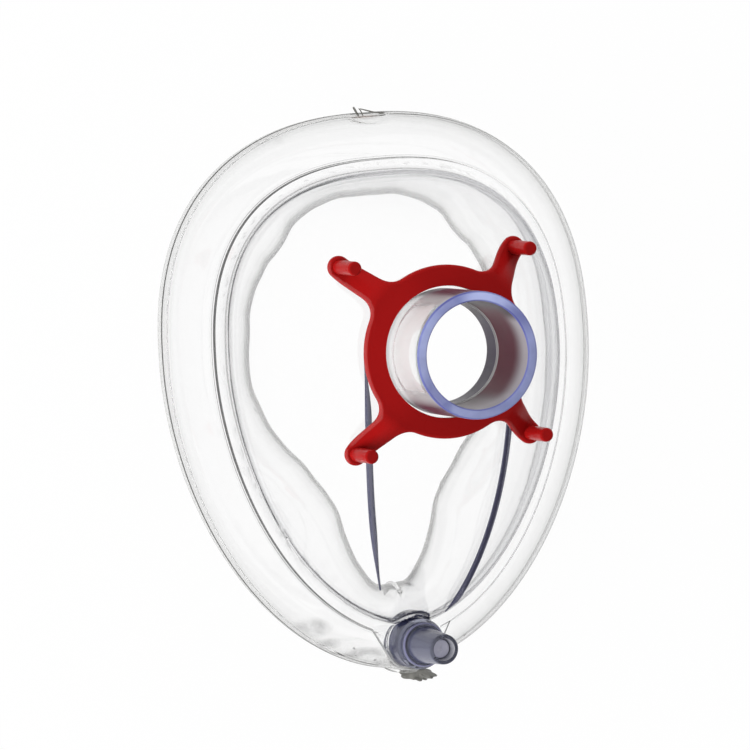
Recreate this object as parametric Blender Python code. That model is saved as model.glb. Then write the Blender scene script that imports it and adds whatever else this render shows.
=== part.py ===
"""An adult anaesthesia face mask: a clear domed shell with a 22 mm breathing connector, glued to a
clear inflatable cushion, with a red four-hook strap ring round the connector and a sprung
inflation valve at the nose end.

Metres, +Z up along the connector, +Y towards the chin, -Y towards the nose. The mask lies on its
cushion, face side down, and the origin is under the middle of its outline.
"""

import math

import bmesh
import bpy
import numpy as np

# The cushion: an air ring, blow-moulded in one piece. Its outline is two half superellipses that
# meet at its widest line, the rounder one at the chin and the slimmer one at the nose.
CUSHION_HALF_WIDTH = 0.04785
CUSHION_WIDEST_Y = 0.0101
CHIN_REACH = 0.0491
CHIN_SQUARENESS = (2.34, 2.42)
NOSE_REACH = 0.0685
NOSE_SQUARENESS = (1.85, 1.91)
CUSHION_HEIGHT = 0.0174
CUSHION_WALL = 0.0006
CUSHION_OUTER_BULGE = 0.0092
TUBE_WIDTH_AT_ENDS = 0.0170
TUBE_WIDTH_AT_SIDES = 0.0188
CREST_FLAT = 0.0003

# The tube swells inwards beside the cheeks and beside the nose: how much, and where along the
# outline from the chin (0) to the nose (1), and how far along it each swelling spreads.
CHEEK_SWELL = 0.0036
CHEEK_SHARE = 0.24
NOSE_SWELL = 0.0084
NOSE_SHARE = 0.735
SWELL_SHARE = 0.098

# Pinched-off ends of the blown parison, at the mould's parting line, with how far each reaches
# beyond the cushion and how far to one side it lies
CHIN_TAB_WIDTH = 0.0064
CHIN_TAB_REACH = 0.0008
CHIN_TAB_ASIDE = 0.0008
NOSE_TAB_WIDTH = 0.0058
NOSE_TAB_REACH = 0.0016
NOSE_TAB_ASIDE = 0.0028
PARTING_LEVEL = 0.0105
TAB_THICKNESS = 0.0016
TAB_ROOT = 0.0022

# The shell: dome, foot flange and connector in one clear moulding
SHELL_WALL = 0.0015
GLUE_GAP = 0.0003
FLANGE_THICKNESS = 0.0013
FLANGE_WIDTH = 0.0024
FLANGE_INSET_AT_CHIN = 0.0097
FLANGE_INSET_AT_SIDES = 0.0085
FLANGE_INSET_AT_NOSE = 0.0075
DOME_RISE = 0.0253
DOME_FULLNESS = (1.5, 0.69)
NECK_FILLET = 0.0019
EDGE_ROUNDING = 0.0003

# The connector takes a 22 mm breathing-system cone
CONNECTOR_Y = 0.01035
CONNECTOR_RADIUS = 0.0130
CONNECTOR_TOP_ABOVE_DOME = 0.0232
SHOULDER_WIDTH = 0.0016
SHOULDER_ABOVE_DOME = 0.0041
MOUTH_RADIUS = 0.0110
SOCKET_DEPTH = 0.0162
LEDGE = 0.00025
BORE_RADIUS = 0.0105

# Two stiffening ribs pass the neck on both sides and run down the dome to the nose. Beside the
# neck they are straight, and they draw together along a curve of this power.
RIB_WIDTH = 0.0014
RIB_HEIGHT = 0.0012
RIB_ROUNDING = 0.00035
RIB_SPREAD_AT_NECK = 0.0159
RIB_SPREAD_AT_NOSE = 0.0059
RIB_CURVE_POWER = 3.2
RIB_START_Y = 0.0180
RIB_ROOT = 0.0007

# The strap ring: a flat ring with four arms that dip towards the dome, each ending in a heel with
# an upright peg
RING_CLEARANCE = 0.00055
RING_WIDTH = 0.0043
RING_THICKNESS = 0.0024
RING_EDGE = 0.0006
SEAT_GAP = 0.0003
ARM_LENGTH = 0.0094
ARM_DIP = 0.0069
ARM_THINNING = 0.0006
ARM_HALF_WIDTH_AT_ROOT = 0.0025
ARM_HALF_WIDTH_AT_END = 0.0020
ARM_FILLET = 0.0042
ARM_COUNT = 4
PEG_RADIUS = 0.0015
PEG_TOP_ABOVE_RING = 0.0019

# The inflation valve stands in a hole in the flange's tongue and in the cushion's port
VALVE_CLEARANCE = 0.0003
VALVE_RADIUS = 0.0051
VALVE_BEYOND_DOME = 0.0037
VALVE_REACH_BELOW_FLANGE = 0.0035
BODY_HEIGHT = 0.0082
BODY_WALL = 0.0010
BODY_FLOOR = 0.0014
AIR_HOLE_RADIUS = 0.0016
TONGUE_MARGIN = 0.0006
TONGUE_FLARE_DEGREES = 29
TONGUE_SIDE_LENGTH = 0.0090
RECESS_MARGIN = 0.0006
PORT_MARGIN = 0.0007
COLLAR_RADIUS = 0.0047
COLLAR_HEIGHT = 0.0019
SPIGOT_LENGTH = 0.0019
NOZZLE_LENGTH = 0.0113
NOZZLE_ROOT_RADIUS = 0.0038
NOZZLE_TIP_RADIUS = 0.00315
LUER_MOUTH_RADIUS = 0.00215
LUER_ROOT_RADIUS = 0.00185
STEM_RADIUS = 0.0014
STEM_BELOW_MOUTH = 0.0020
PLUNGER_DISC_RADIUS = 0.0030
PLUNGER_DISC_THICKNESS = 0.0007
SEAL_THICKNESS = 0.0006
WIRE_RADIUS = 0.000175
SPRING_RADIUS = 0.0022
SPRING_TURNS = 3.5

# How finely the curves are cut into facets, and how far cutting guides run past what they cut
OUTLINE_SAMPLES = 1200
TONGUE_SAMPLES = 40
CUSHION_STATIONS = 64
CUSHION_FACETS = 16
TAB_FACETS = 8
SHELL_STATIONS_PER_SIDE = 28
TIP_STATIONS = 6
TONGUE_SIDE_STATIONS = 3
DOME_ROWS = 9
FILLET_STEPS = 4
RIB_STATIONS = 20
ROUND_FACETS = 32
FINE_FACETS = 24
PEG_FACETS = 14
ARM_STEPS = 3
RING_ROWS = 4
SPRING_STEPS_PER_TURN = 14
WIRE_FACETS = 6
SHARP_DEGREES = 40
GUIDE_MARGIN = 0.0030

# Levels that follow from the sizes above
HALF_HEIGHT = CUSHION_HEIGHT / 2
FLANGE_UNDERSIDE = CUSHION_HEIGHT + GLUE_GAP
FLANGE_TOP = FLANGE_UNDERSIDE + FLANGE_THICKNESS
DOME_TOP = FLANGE_TOP + DOME_RISE
FILLET_LEVEL = DOME_TOP + NECK_FILLET
SHOULDER_LEVEL = DOME_TOP + SHOULDER_ABOVE_DOME
CONNECTOR_TOP = DOME_TOP + CONNECTOR_TOP_ABOVE_DOME
SHOULDER_RADIUS = CONNECTOR_RADIUS + SHOULDER_WIDTH
NECK_REACH = SHOULDER_RADIUS + NECK_FILLET
LEDGE_LEVEL = CONNECTOR_TOP - SOCKET_DEPTH
RING_BASE = SHOULDER_LEVEL + SEAT_GAP
RING_TOP = RING_BASE + RING_THICKNESS
RING_HOLE_RADIUS = CONNECTOR_RADIUS + RING_CLEARANCE
RING_RADIUS = RING_HOLE_RADIUS + RING_WIDTH
PEG_REACH = RING_RADIUS + ARM_LENGTH
PEG_TOP = RING_TOP + PEG_TOP_ABOVE_RING
PORT_RADIUS = VALVE_RADIUS + VALVE_CLEARANCE
TONGUE_RADIUS = PORT_RADIUS + TONGUE_MARGIN
RECESS_RADIUS = PORT_RADIUS + RECESS_MARGIN


def clear_scene():
    for old in list(bpy.data.objects):
        bpy.data.objects.remove(old)


def material(name, colour, roughness, alpha=1.0, transmission=0.0):
    made = bpy.data.materials.new(name)
    made.use_nodes = True
    shader = made.node_tree.nodes["Principled BSDF"]
    shader.inputs["Base Color"].default_value = (*colour, 1.0)
    shader.inputs["Roughness"].default_value = roughness
    shader.inputs["Metallic"].default_value = 0.0
    shader.inputs["Alpha"].default_value = alpha
    shader.inputs["Transmission Weight"].default_value = transmission
    return made


def steel(name):
    made = material(name, (0.62, 0.62, 0.60), 0.3)
    made.node_tree.nodes["Principled BSDF"].inputs["Metallic"].default_value = 1.0
    return made


def lofted(name, rings, finish=None, close_ends=False):
    """One closed body from a list of rings of points: each ring is joined to the next by quads,
    and the last to the first, unless close_ends caps the two ends instead."""
    rings = np.asarray(rings, float)
    count, size = rings.shape[:2]
    mesh = bpy.data.meshes.new(name)
    shape = bmesh.new()
    rows = [[shape.verts.new(point) for point in ring] for ring in rings]
    for k in range(count - 1 if close_ends else count):
        here, there = rows[k], rows[(k + 1) % count]
        for j in range(size):
            shape.faces.new((here[j], here[(j + 1) % size], there[(j + 1) % size], there[j]))
    if close_ends:
        shape.faces.new(rows[0])
        shape.faces.new(rows[-1])
    bmesh.ops.recalc_face_normals(shape, faces=shape.faces)
    shape.to_mesh(mesh)
    shape.free()
    mesh.shade_smooth()
    mesh.set_sharp_from_angle(angle=math.radians(SHARP_DEGREES))
    made = bpy.data.objects.new(name, mesh)
    bpy.context.collection.objects.link(made)
    if finish:
        mesh.materials.append(finish)
    return made


def turned(name, profile, place, finish=None, facets=ROUND_FACETS):
    """A closed profile of (radius, height) pairs turned about the upright axis through place.
    A profile that starts and ends at radius 0 makes a solid of revolution with no hole."""
    solid = profile[0][0] == 0
    mesh = bpy.data.meshes.new(name)
    shape = bmesh.new()
    x, y = place
    corners = [shape.verts.new((x + r, y, z)) for r, z in profile]
    edges = [shape.edges.new(pair) for pair in zip(corners, corners[1:])]
    if not solid:
        edges.append(shape.edges.new((corners[-1], corners[0])))
    bmesh.ops.spin(
        shape, geom=corners + edges, cent=(x, y, 0), axis=(0, 0, 1),
        angle=2 * math.pi, steps=facets, use_merge=True,
    )
    bmesh.ops.remove_doubles(shape, verts=shape.verts, dist=1e-6)
    bmesh.ops.recalc_face_normals(shape, faces=shape.faces)
    shape.to_mesh(mesh)
    shape.free()
    mesh.shade_smooth()
    mesh.set_sharp_from_angle(angle=math.radians(SHARP_DEGREES))
    made = bpy.data.objects.new(name, mesh)
    bpy.context.collection.objects.link(made)
    if finish:
        mesh.materials.append(finish)
    return made


def combine(target, operation, helper):
    """A live Boolean of the target with a helper object that only guides it."""
    helper.hide_render = True
    helper.display_type = "WIRE"
    step = target.modifiers.new(helper.name, "BOOLEAN")
    step.operation = operation
    step.solver = "EXACT"
    step.object = helper


def rod(name, place, radius, low, high, facets=ROUND_FACETS):
    return turned(name, [(0, low), (radius, low), (radius, high), (0, high)], place, facets=facets)


class Outline:
    """The cushion's outer edge on the +X side, from the chin (0) to the nose (1), by share of its
    length, with its outward normal."""

    def __init__(self):
        turn = np.linspace(math.pi / 2, -math.pi / 2, OUTLINE_SAMPLES + 1)
        across, along = np.cos(turn), np.sin(turn)
        chin = along >= 0
        power_x = np.where(chin, 2 / CHIN_SQUARENESS[0], 2 / NOSE_SQUARENESS[0])
        power_y = np.where(chin, 2 / CHIN_SQUARENESS[1], 2 / NOSE_SQUARENESS[1])
        reach = np.where(chin, CHIN_REACH, -NOSE_REACH)
        x = CUSHION_HALF_WIDTH * np.abs(across) ** power_x
        y = CUSHION_WIDEST_Y + reach * np.abs(along) ** power_y
        self.points = np.stack([x, y], 1)
        steps = np.linalg.norm(np.diff(self.points, axis=0), axis=1)
        self.share = np.concatenate([[0], np.cumsum(steps)]) / steps.sum()
        ahead = np.gradient(self.points, axis=0)
        self.normals = np.stack([-ahead[:, 1], ahead[:, 0]], 1)
        self.normals /= np.linalg.norm(self.normals, axis=1)[:, None]
        self.normals[0] = (0, 1)
        self.normals[-1] = (0, -1)

    def read(self, table, share):
        columns = [np.interp(share, self.share, table[:, i]) for i in (0, 1)]
        return np.stack(columns, -1)

    def inset(self, share, distance):
        """The point that lies this far inside the outer edge."""
        share = np.asarray(share, float)
        distance = np.broadcast_to(distance, share.shape)
        return self.read(self.points, share) - distance[..., None] * self.read(self.normals, share)


OUTLINE = Outline()


def tube_width(share):
    """The cushion's width at a share of the outline, swollen beside the cheeks and the nose."""
    plain = TUBE_WIDTH_AT_ENDS + (TUBE_WIDTH_AT_SIDES - TUBE_WIDTH_AT_ENDS) * np.sin(math.pi * share) ** 2
    cheek = CHEEK_SWELL * np.exp(-0.5 * ((share - CHEEK_SHARE) / SWELL_SHARE) ** 2)
    nose = NOSE_SWELL * np.exp(-0.5 * ((share - NOSE_SHARE) / SWELL_SHARE) ** 2)
    return plain + cheek + nose


def flange_inset(share):
    """How far the flange's edge lies inside the cushion's edge: one value at the sides, blended
    into those at the chin and the nose."""
    end = np.where(share < 0.5, FLANGE_INSET_AT_CHIN, FLANGE_INSET_AT_NOSE)
    return FLANGE_INSET_AT_SIDES + (end - FLANGE_INSET_AT_SIDES) * np.cos(math.pi * share) ** 2


def dome_inset(share):
    return flange_inset(share) + FLANGE_WIDTH


DOME_TIP_Y = float(OUTLINE.inset(1.0, dome_inset(1.0))[1])
VALVE_PLACE = (0.0, DOME_TIP_Y - VALVE_BEYOND_DOME)
VALVE_AWAY = CONNECTOR_Y - VALVE_PLACE[1]


def mirrored_loop(half):
    """A closed loop from one side's points, chin to nose, and their mirror images back again."""
    other = half[-2:0:-1].copy()
    other[..., 0] *= -1
    return np.concatenate([half, other])


def cushion_rings(inside):
    """Sections of the air ring. Outwards each is a quarter round of CUSHION_OUTER_BULGE, inwards a
    half oval out to the tube's width there, and its crest and its foot are pressed flat."""
    share = np.linspace(0, 1, CUSHION_STATIONS // 2 + 1)
    crest = OUTLINE.inset(share, CUSHION_OUTER_BULGE)
    out = OUTLINE.read(OUTLINE.normals, share)
    bulge = CUSHION_OUTER_BULGE - inside
    depth = tube_width(share) - CUSHION_OUTER_BULGE - inside
    height = HALF_HEIGHT + CREST_FLAT - inside
    limit = HALF_HEIGHT - inside
    turn = 2 * math.pi * (np.arange(CUSHION_FACETS) + 0.5) / CUSHION_FACETS
    reach = np.where(np.cos(turn) > 0, bulge, depth[:, None]) * np.cos(turn)
    x = crest[:, None, 0] + out[:, None, 0] * reach
    y = crest[:, None, 1] + out[:, None, 1] * reach
    level = np.clip(height * np.sin(turn), -limit, limit)
    z = HALF_HEIGHT + np.broadcast_to(level, x.shape)
    half = np.stack([x, y, z], -1)
    half[[0, -1], :, 0] = 0
    return mirrored_loop(half)


def pinch_tab(name, end_y, outward, width, reach, aside):
    """A short flat tab at the parting line, rounded where it ends."""
    half = width / 2
    turn = np.linspace(0, math.pi, TAB_FACETS + 1)
    x = aside + np.concatenate([half * np.cos(turn), [-half, half]])
    y = end_y + outward * np.concatenate([reach * np.sin(turn), [-TAB_ROOT, -TAB_ROOT]])
    low, high = PARTING_LEVEL - TAB_THICKNESS / 2, PARTING_LEVEL + TAB_THICKNESS / 2
    rings = [np.stack([x, y, np.full(len(x), level)], 1) for level in (low, high)]
    return lofted(name, rings, close_ends=True)


def make_cushion(finish):
    """The bladder: hollow, with its port at the nose and its two pinched-off ends."""
    cushion = lofted("cushion", cushion_rings(0), finish)
    boss = rod("port_boss_guide", VALVE_PLACE, PORT_RADIUS + PORT_MARGIN, HALF_HEIGHT, CUSHION_HEIGHT)
    combine(cushion, "UNION", boss)
    chin_end, nose_end = float(OUTLINE.points[0, 1]), float(OUTLINE.points[-1, 1])
    chin_size = (CHIN_TAB_WIDTH, CHIN_TAB_REACH, CHIN_TAB_ASIDE)
    nose_size = (NOSE_TAB_WIDTH, NOSE_TAB_REACH, NOSE_TAB_ASIDE)
    combine(cushion, "UNION", pinch_tab("chin_tab_guide", chin_end, 1, *chin_size))
    combine(cushion, "UNION", pinch_tab("nose_tab_guide", nose_end, -1, *nose_size))
    combine(cushion, "DIFFERENCE", lofted("air_space_guide", cushion_rings(CUSHION_WALL)))
    port = rod("port_hole_guide", VALVE_PLACE, PORT_RADIUS, HALF_HEIGHT, CUSHION_HEIGHT + GUIDE_MARGIN)
    combine(cushion, "DIFFERENCE", port)
    return cushion


def about_connector(points):
    """Bearing from the nose direction and distance of each point, as seen from the connector."""
    x, y = points[..., 0], CONNECTOR_Y - points[..., 1]
    return np.arctan2(x, y), np.hypot(x, y)


class Shell:
    """The dome's foot and the flange's edge as distances from the connector's axis, by bearing."""

    def __init__(self):
        share = np.linspace(1, 0, OUTLINE_SAMPLES + 1)
        self.foot_bearing, self.foot_reach = about_connector(OUTLINE.inset(share, dome_inset(share)))
        self.edge_bearing, self.edge_reach = about_connector(OUTLINE.inset(share, flange_inset(share)))
        self.tongue_bearing, self.tongue_reach = about_connector(self.tongue())

    def tongue(self):
        """The flange's tongue: an arc round the valve, then a straight side that flares out."""
        flare = math.radians(TONGUE_FLARE_DEGREES)
        turn = np.linspace(0, math.pi / 2 - flare, TONGUE_SAMPLES)
        arc = TONGUE_RADIUS * np.stack([np.sin(turn), -np.cos(turn)], 1)
        climb = np.linspace(0, TONGUE_SIDE_LENGTH, TONGUE_SAMPLES)[1:, None]
        side = arc[-1] + climb * (math.sin(flare), math.cos(flare))
        return VALVE_PLACE + np.concatenate([arc, side])

    def recess(self, bearing):
        """Distance to the round recess that keeps the dome clear of the valve."""
        aside, ahead = VALVE_AWAY * np.sin(bearing), VALVE_AWAY * np.cos(bearing)
        inside = RECESS_RADIUS ** 2 - aside ** 2
        near = ahead - np.sqrt(np.maximum(inside, 0))
        return np.where((inside > 0) & (ahead > 0), near, VALVE_AWAY)

    def foot(self, bearing):
        return np.interp(bearing, self.foot_bearing, self.foot_reach)

    def edge(self, bearing):
        flange = np.interp(bearing, self.edge_bearing, self.edge_reach)
        tongue = np.interp(bearing, self.tongue_bearing, self.tongue_reach, right=0)
        return np.maximum(flange, tongue)

    def bearings(self):
        """Bearings for the stations on one side: close together where the tongue curves."""
        tip = self.tongue_bearing[:TONGUE_SAMPLES][::TONGUE_SAMPLES // TIP_STATIONS]
        flange = np.interp(self.tongue_bearing, self.edge_bearing, self.edge_reach)
        corner = self.tongue_bearing[self.tongue_reach > flange][-1]
        neck = np.linspace(tip[-1], corner, TONGUE_SIDE_STATIONS + 1)[1:]
        share = np.linspace(0, 1, SHELL_STATIONS_PER_SIDE + 1)
        around = about_connector(OUTLINE.inset(share, dome_inset(share)))[0][::-1]
        rest = around[around > corner + (neck[-1] - neck[-2])]
        return np.concatenate([tip, neck, rest])

    def height(self, bearing, reach):
        """The dome's outer surface above a point, by its distance from the connector's axis."""
        part = np.clip((reach - NECK_REACH) / (self.foot(bearing) - NECK_REACH), 0, 1)
        return FLANGE_TOP + DOME_RISE * (1 - part ** DOME_FULLNESS[0]) ** DOME_FULLNESS[1]

    def section(self, bearing):
        """The closed section of the shell at one bearing, as distances and heights: over the rim,
        down the connector to the ring's shoulder, out over the dome and the flange, and back along
        the inside."""
        foot, edge, recess = self.foot(bearing), self.edge(bearing), self.recess(bearing)
        rim = [
            (MOUTH_RADIUS + EDGE_ROUNDING, CONNECTOR_TOP),
            (CONNECTOR_RADIUS - EDGE_ROUNDING, CONNECTOR_TOP),
            (CONNECTOR_RADIUS, CONNECTOR_TOP - EDGE_ROUNDING),
            (CONNECTOR_RADIUS, SHOULDER_LEVEL),
            (SHOULDER_RADIUS - EDGE_ROUNDING, SHOULDER_LEVEL),
            (SHOULDER_RADIUS, SHOULDER_LEVEL - EDGE_ROUNDING),
        ]
        turn = np.linspace(0, math.pi / 2, FILLET_STEPS + 1)
        fillet_r = NECK_REACH - NECK_FILLET * np.cos(turn)
        fillet_z = FILLET_LEVEL - NECK_FILLET * np.sin(turn)
        share = np.sin(np.linspace(0, math.pi / 2, DOME_ROWS + 1))[1:]
        dome_r = NECK_REACH + share * (foot - NECK_REACH)
        dome_z = self.height(bearing, dome_r)
        flange = [
            (edge - EDGE_ROUNDING, FLANGE_TOP),
            (edge, FLANGE_TOP - EDGE_ROUNDING),
            (edge, FLANGE_UNDERSIDE),
            (min(foot, recess) - SHELL_WALL, FLANGE_UNDERSIDE),
        ]
        slope = np.stack([np.gradient(dome_r), np.gradient(dome_z)], 1)
        slope[-1] = (0, -1)
        slope /= np.linalg.norm(slope, axis=1)[:, None]
        inner_r = dome_r + SHELL_WALL * slope[:, 1]
        inner_z = dome_z - SHELL_WALL * slope[:, 0]
        neck_r = NECK_REACH - (NECK_REACH - BORE_RADIUS) * np.cos(turn)
        neck_z = FILLET_LEVEL - (NECK_FILLET + SHELL_WALL) * np.sin(turn)
        bore = [
            (BORE_RADIUS, LEDGE_LEVEL),
            (BORE_RADIUS + LEDGE, LEDGE_LEVEL),
            (MOUTH_RADIUS, CONNECTOR_TOP - EDGE_ROUNDING),
        ]
        return np.concatenate([
            rim,
            np.stack([fillet_r, fillet_z], 1),
            np.stack([np.minimum(dome_r, recess), dome_z], 1),
            flange,
            np.stack([np.minimum(inner_r, recess - SHELL_WALL), inner_z], 1)[::-1],
            np.stack([neck_r, neck_z], 1)[::-1],
            bore,
        ])

    def rings(self):
        half = []
        for bearing in self.bearings():
            section = self.section(bearing)
            x = section[:, 0] * math.sin(bearing)
            y = CONNECTOR_Y - section[:, 0] * math.cos(bearing)
            half.append(np.stack([x, y, section[:, 1]], 1))
        half = np.array(half)
        half[[0, -1], :, 0] = 0
        return mirrored_loop(half)


SHELL = Shell()


def rib_path(side):
    """A rib's line in plan, straight beside the neck and curved in to the nose, laid on the dome."""
    along = np.linspace(0, 1, RIB_STATIONS)
    drawn_in = (RIB_SPREAD_AT_NECK - RIB_SPREAD_AT_NOSE) * along ** RIB_CURVE_POWER
    x = RIB_SPREAD_AT_NECK - drawn_in
    y = RIB_START_Y + (DOME_TIP_Y - RIB_START_Y) * along
    bearing, reach = about_connector(np.stack([x, y], 1))
    inside = reach < SHELL.foot(bearing)
    x, y, bearing, reach = x[inside], y[inside], bearing[inside], reach[inside]
    return np.stack([side * x, y, SHELL.height(bearing, reach)], 1)


def rib(name, side):
    """A low bar with a rounded top, sunk a little into the dome that carries it."""
    path = rib_path(side)
    ahead = np.gradient(path, axis=0)
    ahead /= np.linalg.norm(ahead, axis=1)[:, None]
    across = np.stack([-ahead[:, 1], ahead[:, 0], np.zeros(len(ahead))], 1)
    across /= np.linalg.norm(across, axis=1)[:, None]
    up = np.cross(across, ahead)
    up *= np.sign(up[:, 2])[:, None]
    turn = np.linspace(0, math.pi, FILLET_STEPS + 1)
    half, crown = RIB_WIDTH / 2, RIB_HEIGHT - RIB_ROUNDING
    profile = [(-half, -RIB_ROOT), (half, -RIB_ROOT)]
    profile += [(half * math.cos(t), crown + RIB_ROUNDING * math.sin(t)) for t in turn]
    sideways = np.array([p[0] for p in profile])
    upwards = np.array([p[1] for p in profile])
    rings = path[:, None] + across[:, None] * sideways[:, None] + up[:, None] * upwards[:, None]
    return lofted(name, rings, close_ends=True)


def make_shell(finish):
    shell = lofted("shell", SHELL.rings(), finish)
    combine(shell, "UNION", rib("rib_guide_left", -1))
    combine(shell, "UNION", rib("rib_guide_right", 1))
    low, high = FLANGE_UNDERSIDE - GUIDE_MARGIN, FLANGE_TOP + GUIDE_MARGIN
    combine(shell, "DIFFERENCE", rod("valve_hole_guide", VALVE_PLACE, PORT_RADIUS, low, high))
    return shell


def ring_outline():
    """The ring's outer edge as one closed loop: for each arm, a fillet out of the ring, a tapering
    side, a round end, and the same back again."""
    offset = ARM_HALF_WIDTH_AT_ROOT + ARM_FILLET
    centre_u = math.sqrt((RING_RADIUS + ARM_FILLET) ** 2 - offset ** 2)
    leave = math.atan2(offset, centre_u)
    quarter = 2 * math.pi / ARM_COUNT
    ring_arc = np.linspace(-quarter / 2, -leave, ARM_STEPS)
    side = [(RING_RADIUS * math.cos(t), RING_RADIUS * math.sin(t)) for t in ring_arc]
    sweep = np.linspace(math.pi - leave, math.pi / 2, ARM_STEPS + 1)[1:]
    side += [(centre_u + ARM_FILLET * math.cos(t), -offset + ARM_FILLET * math.sin(t)) for t in sweep]
    taper = np.linspace(0, 1, ARM_STEPS + 1)[1:-1]
    for part in taper:
        half = ARM_HALF_WIDTH_AT_ROOT + (ARM_HALF_WIDTH_AT_END - ARM_HALF_WIDTH_AT_ROOT) * part
        side.append((centre_u + (PEG_REACH - centre_u) * part, -half))
    cap, half = np.linspace(-math.pi / 2, 0, ARM_STEPS + 1), ARM_HALF_WIDTH_AT_END
    side += [(PEG_REACH + half * math.cos(t), half * math.sin(t)) for t in cap]
    side = np.array(side)
    back = side[-2:0:-1] * (1, -1)
    arm = np.concatenate([side, back])
    loop = []
    for k in range(ARM_COUNT):
        turn = quarter * (k + 0.5)
        spin = np.array([[math.cos(turn), math.sin(turn)], [-math.sin(turn), math.cos(turn)]])
        loop.append(arm @ spin)
    return np.concatenate(loop)


def moved_in(loop, distance):
    """The loop with each point moved inwards, square to the edge."""
    ahead = np.roll(loop, -1, 0) - np.roll(loop, 1, 0)
    ahead /= np.linalg.norm(ahead, axis=1)[:, None]
    return loop + distance * np.stack([-ahead[:, 1], ahead[:, 0]], 1)


def ring_level(points, height):
    """The level of points at a height in the ring's plate: the arms dip towards their heels, and
    thin a little from below. Both curves are level at the ring and at the heel."""
    part = np.clip((np.linalg.norm(points, axis=1) - RING_RADIUS) / ARM_LENGTH, 0, 1)
    share = part ** 2 * (3 - 2 * part)
    thinned = ARM_THINNING * share * (1 - height / RING_THICKNESS)
    return RING_BASE + height - ARM_DIP * share + thinned


def ring_sections():
    """One closed section for each point of the ring's outer edge: round the rounded edge, in over
    the top to the hole, and out again along the underside."""
    loop = ring_outline()
    turn = np.linspace(0, math.pi / 2, ARM_STEPS)
    edge = [(RING_EDGE * (1 - math.sin(t)), RING_EDGE * (1 - math.cos(t))) for t in turn]
    edge += [(inset, RING_THICKNESS - height) for inset, height in edge[::-1]]
    rows = [(moved_in(loop, inset), height) for inset, height in edge]
    rim = rows[-1][0]
    far = np.linalg.norm(rim, axis=1)[:, None]
    hole = rim / far * RING_HOLE_RADIUS
    inward = np.linspace(0, 1, RING_ROWS + 1)[1:]
    over = [(rim + (hole - rim) * part, RING_THICKNESS) for part in inward]
    rows += over + [(points, 0.0) for points, _ in over[::-1]]
    sections = []
    for points, height in rows:
        level = ring_level(points, height)
        sections.append(np.column_stack([points[:, 0], points[:, 1] + CONNECTOR_Y, level]))
    return np.stack(sections, 1)


def make_hook_ring(finish, pivot):
    """The ring with its dipping arms, and a peg standing on each arm's heel."""
    ring = lofted("hook_ring", ring_sections(), finish)
    heel = RING_BASE + RING_THICKNESS / 2 - ARM_DIP
    profile = [
        (0, heel),
        (PEG_RADIUS, heel),
        (PEG_RADIUS, PEG_TOP - EDGE_ROUNDING),
        (PEG_RADIUS - EDGE_ROUNDING, PEG_TOP),
        (0, PEG_TOP),
    ]
    for k in range(ARM_COUNT):
        turn = 2 * math.pi / ARM_COUNT * (k + 0.5)
        spot = (PEG_REACH * math.cos(turn), CONNECTOR_Y + PEG_REACH * math.sin(turn))
        combine(ring, "UNION", turned(f"peg_guide_{k + 1}", profile, spot, facets=PEG_FACETS))
    ring.parent = pivot
    ring.matrix_parent_inverse = pivot.matrix_world.inverted()
    return ring


def valve_levels():
    """Heights in the valve, from its foot in the cushion up to its mouth."""
    foot = FLANGE_TOP - VALVE_REACH_BELOW_FLANGE
    collar = foot + BODY_HEIGHT + VALVE_CLEARANCE
    shoulder = collar + COLLAR_HEIGHT
    spigot = collar - SPIGOT_LENGTH
    seal_top = spigot - VALVE_CLEARANCE
    disc_top = seal_top - SEAL_THICKNESS - VALVE_CLEARANCE
    disc_low = disc_top - PLUNGER_DISC_THICKNESS
    return {
        "foot": foot,
        "floor": foot + BODY_FLOOR,
        "body_top": foot + BODY_HEIGHT,
        "collar": collar,
        "shoulder": shoulder,
        "mouth": shoulder + NOZZLE_LENGTH,
        "spigot": spigot,
        "seal_top": seal_top,
        "seal_low": seal_top - SEAL_THICKNESS,
        "disc_top": disc_top,
        "disc_low": disc_low,
        "spring_low": foot + BODY_FLOOR + VALVE_CLEARANCE,
        "spring_top": disc_low - VALVE_CLEARANCE,
    }


LEVELS = valve_levels()


def make_valve_body(finish):
    chamber = VALVE_RADIUS - BODY_WALL
    edge = EDGE_ROUNDING
    return turned("valve_body", [
        (AIR_HOLE_RADIUS, LEVELS["foot"]),
        (VALVE_RADIUS - edge, LEVELS["foot"]),
        (VALVE_RADIUS, LEVELS["foot"] + edge),
        (VALVE_RADIUS, LEVELS["body_top"]),
        (chamber, LEVELS["body_top"]),
        (chamber, LEVELS["floor"]),
        (AIR_HOLE_RADIUS, LEVELS["floor"]),
    ], VALVE_PLACE, finish)


def make_valve_nozzle(finish):
    """The cap: a spigot in the body's chamber, a collar on its rim and a tapered luer nozzle."""
    edge = EDGE_ROUNDING
    spigot_radius = VALVE_RADIUS - BODY_WALL - VALVE_CLEARANCE
    return turned("valve_nozzle", [
        (LUER_ROOT_RADIUS, LEVELS["spigot"]),
        (spigot_radius, LEVELS["spigot"]),
        (spigot_radius, LEVELS["collar"]),
        (COLLAR_RADIUS, LEVELS["collar"]),
        (COLLAR_RADIUS, LEVELS["shoulder"] - edge),
        (COLLAR_RADIUS - edge, LEVELS["shoulder"]),
        (NOZZLE_ROOT_RADIUS + edge, LEVELS["shoulder"]),
        (NOZZLE_ROOT_RADIUS, LEVELS["shoulder"] + edge),
        (NOZZLE_TIP_RADIUS, LEVELS["mouth"] - edge),
        (NOZZLE_TIP_RADIUS - edge, LEVELS["mouth"]),
        (LUER_MOUTH_RADIUS, LEVELS["mouth"]),
        (LUER_ROOT_RADIUS, LEVELS["shoulder"]),
    ], VALVE_PLACE, finish)


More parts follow.
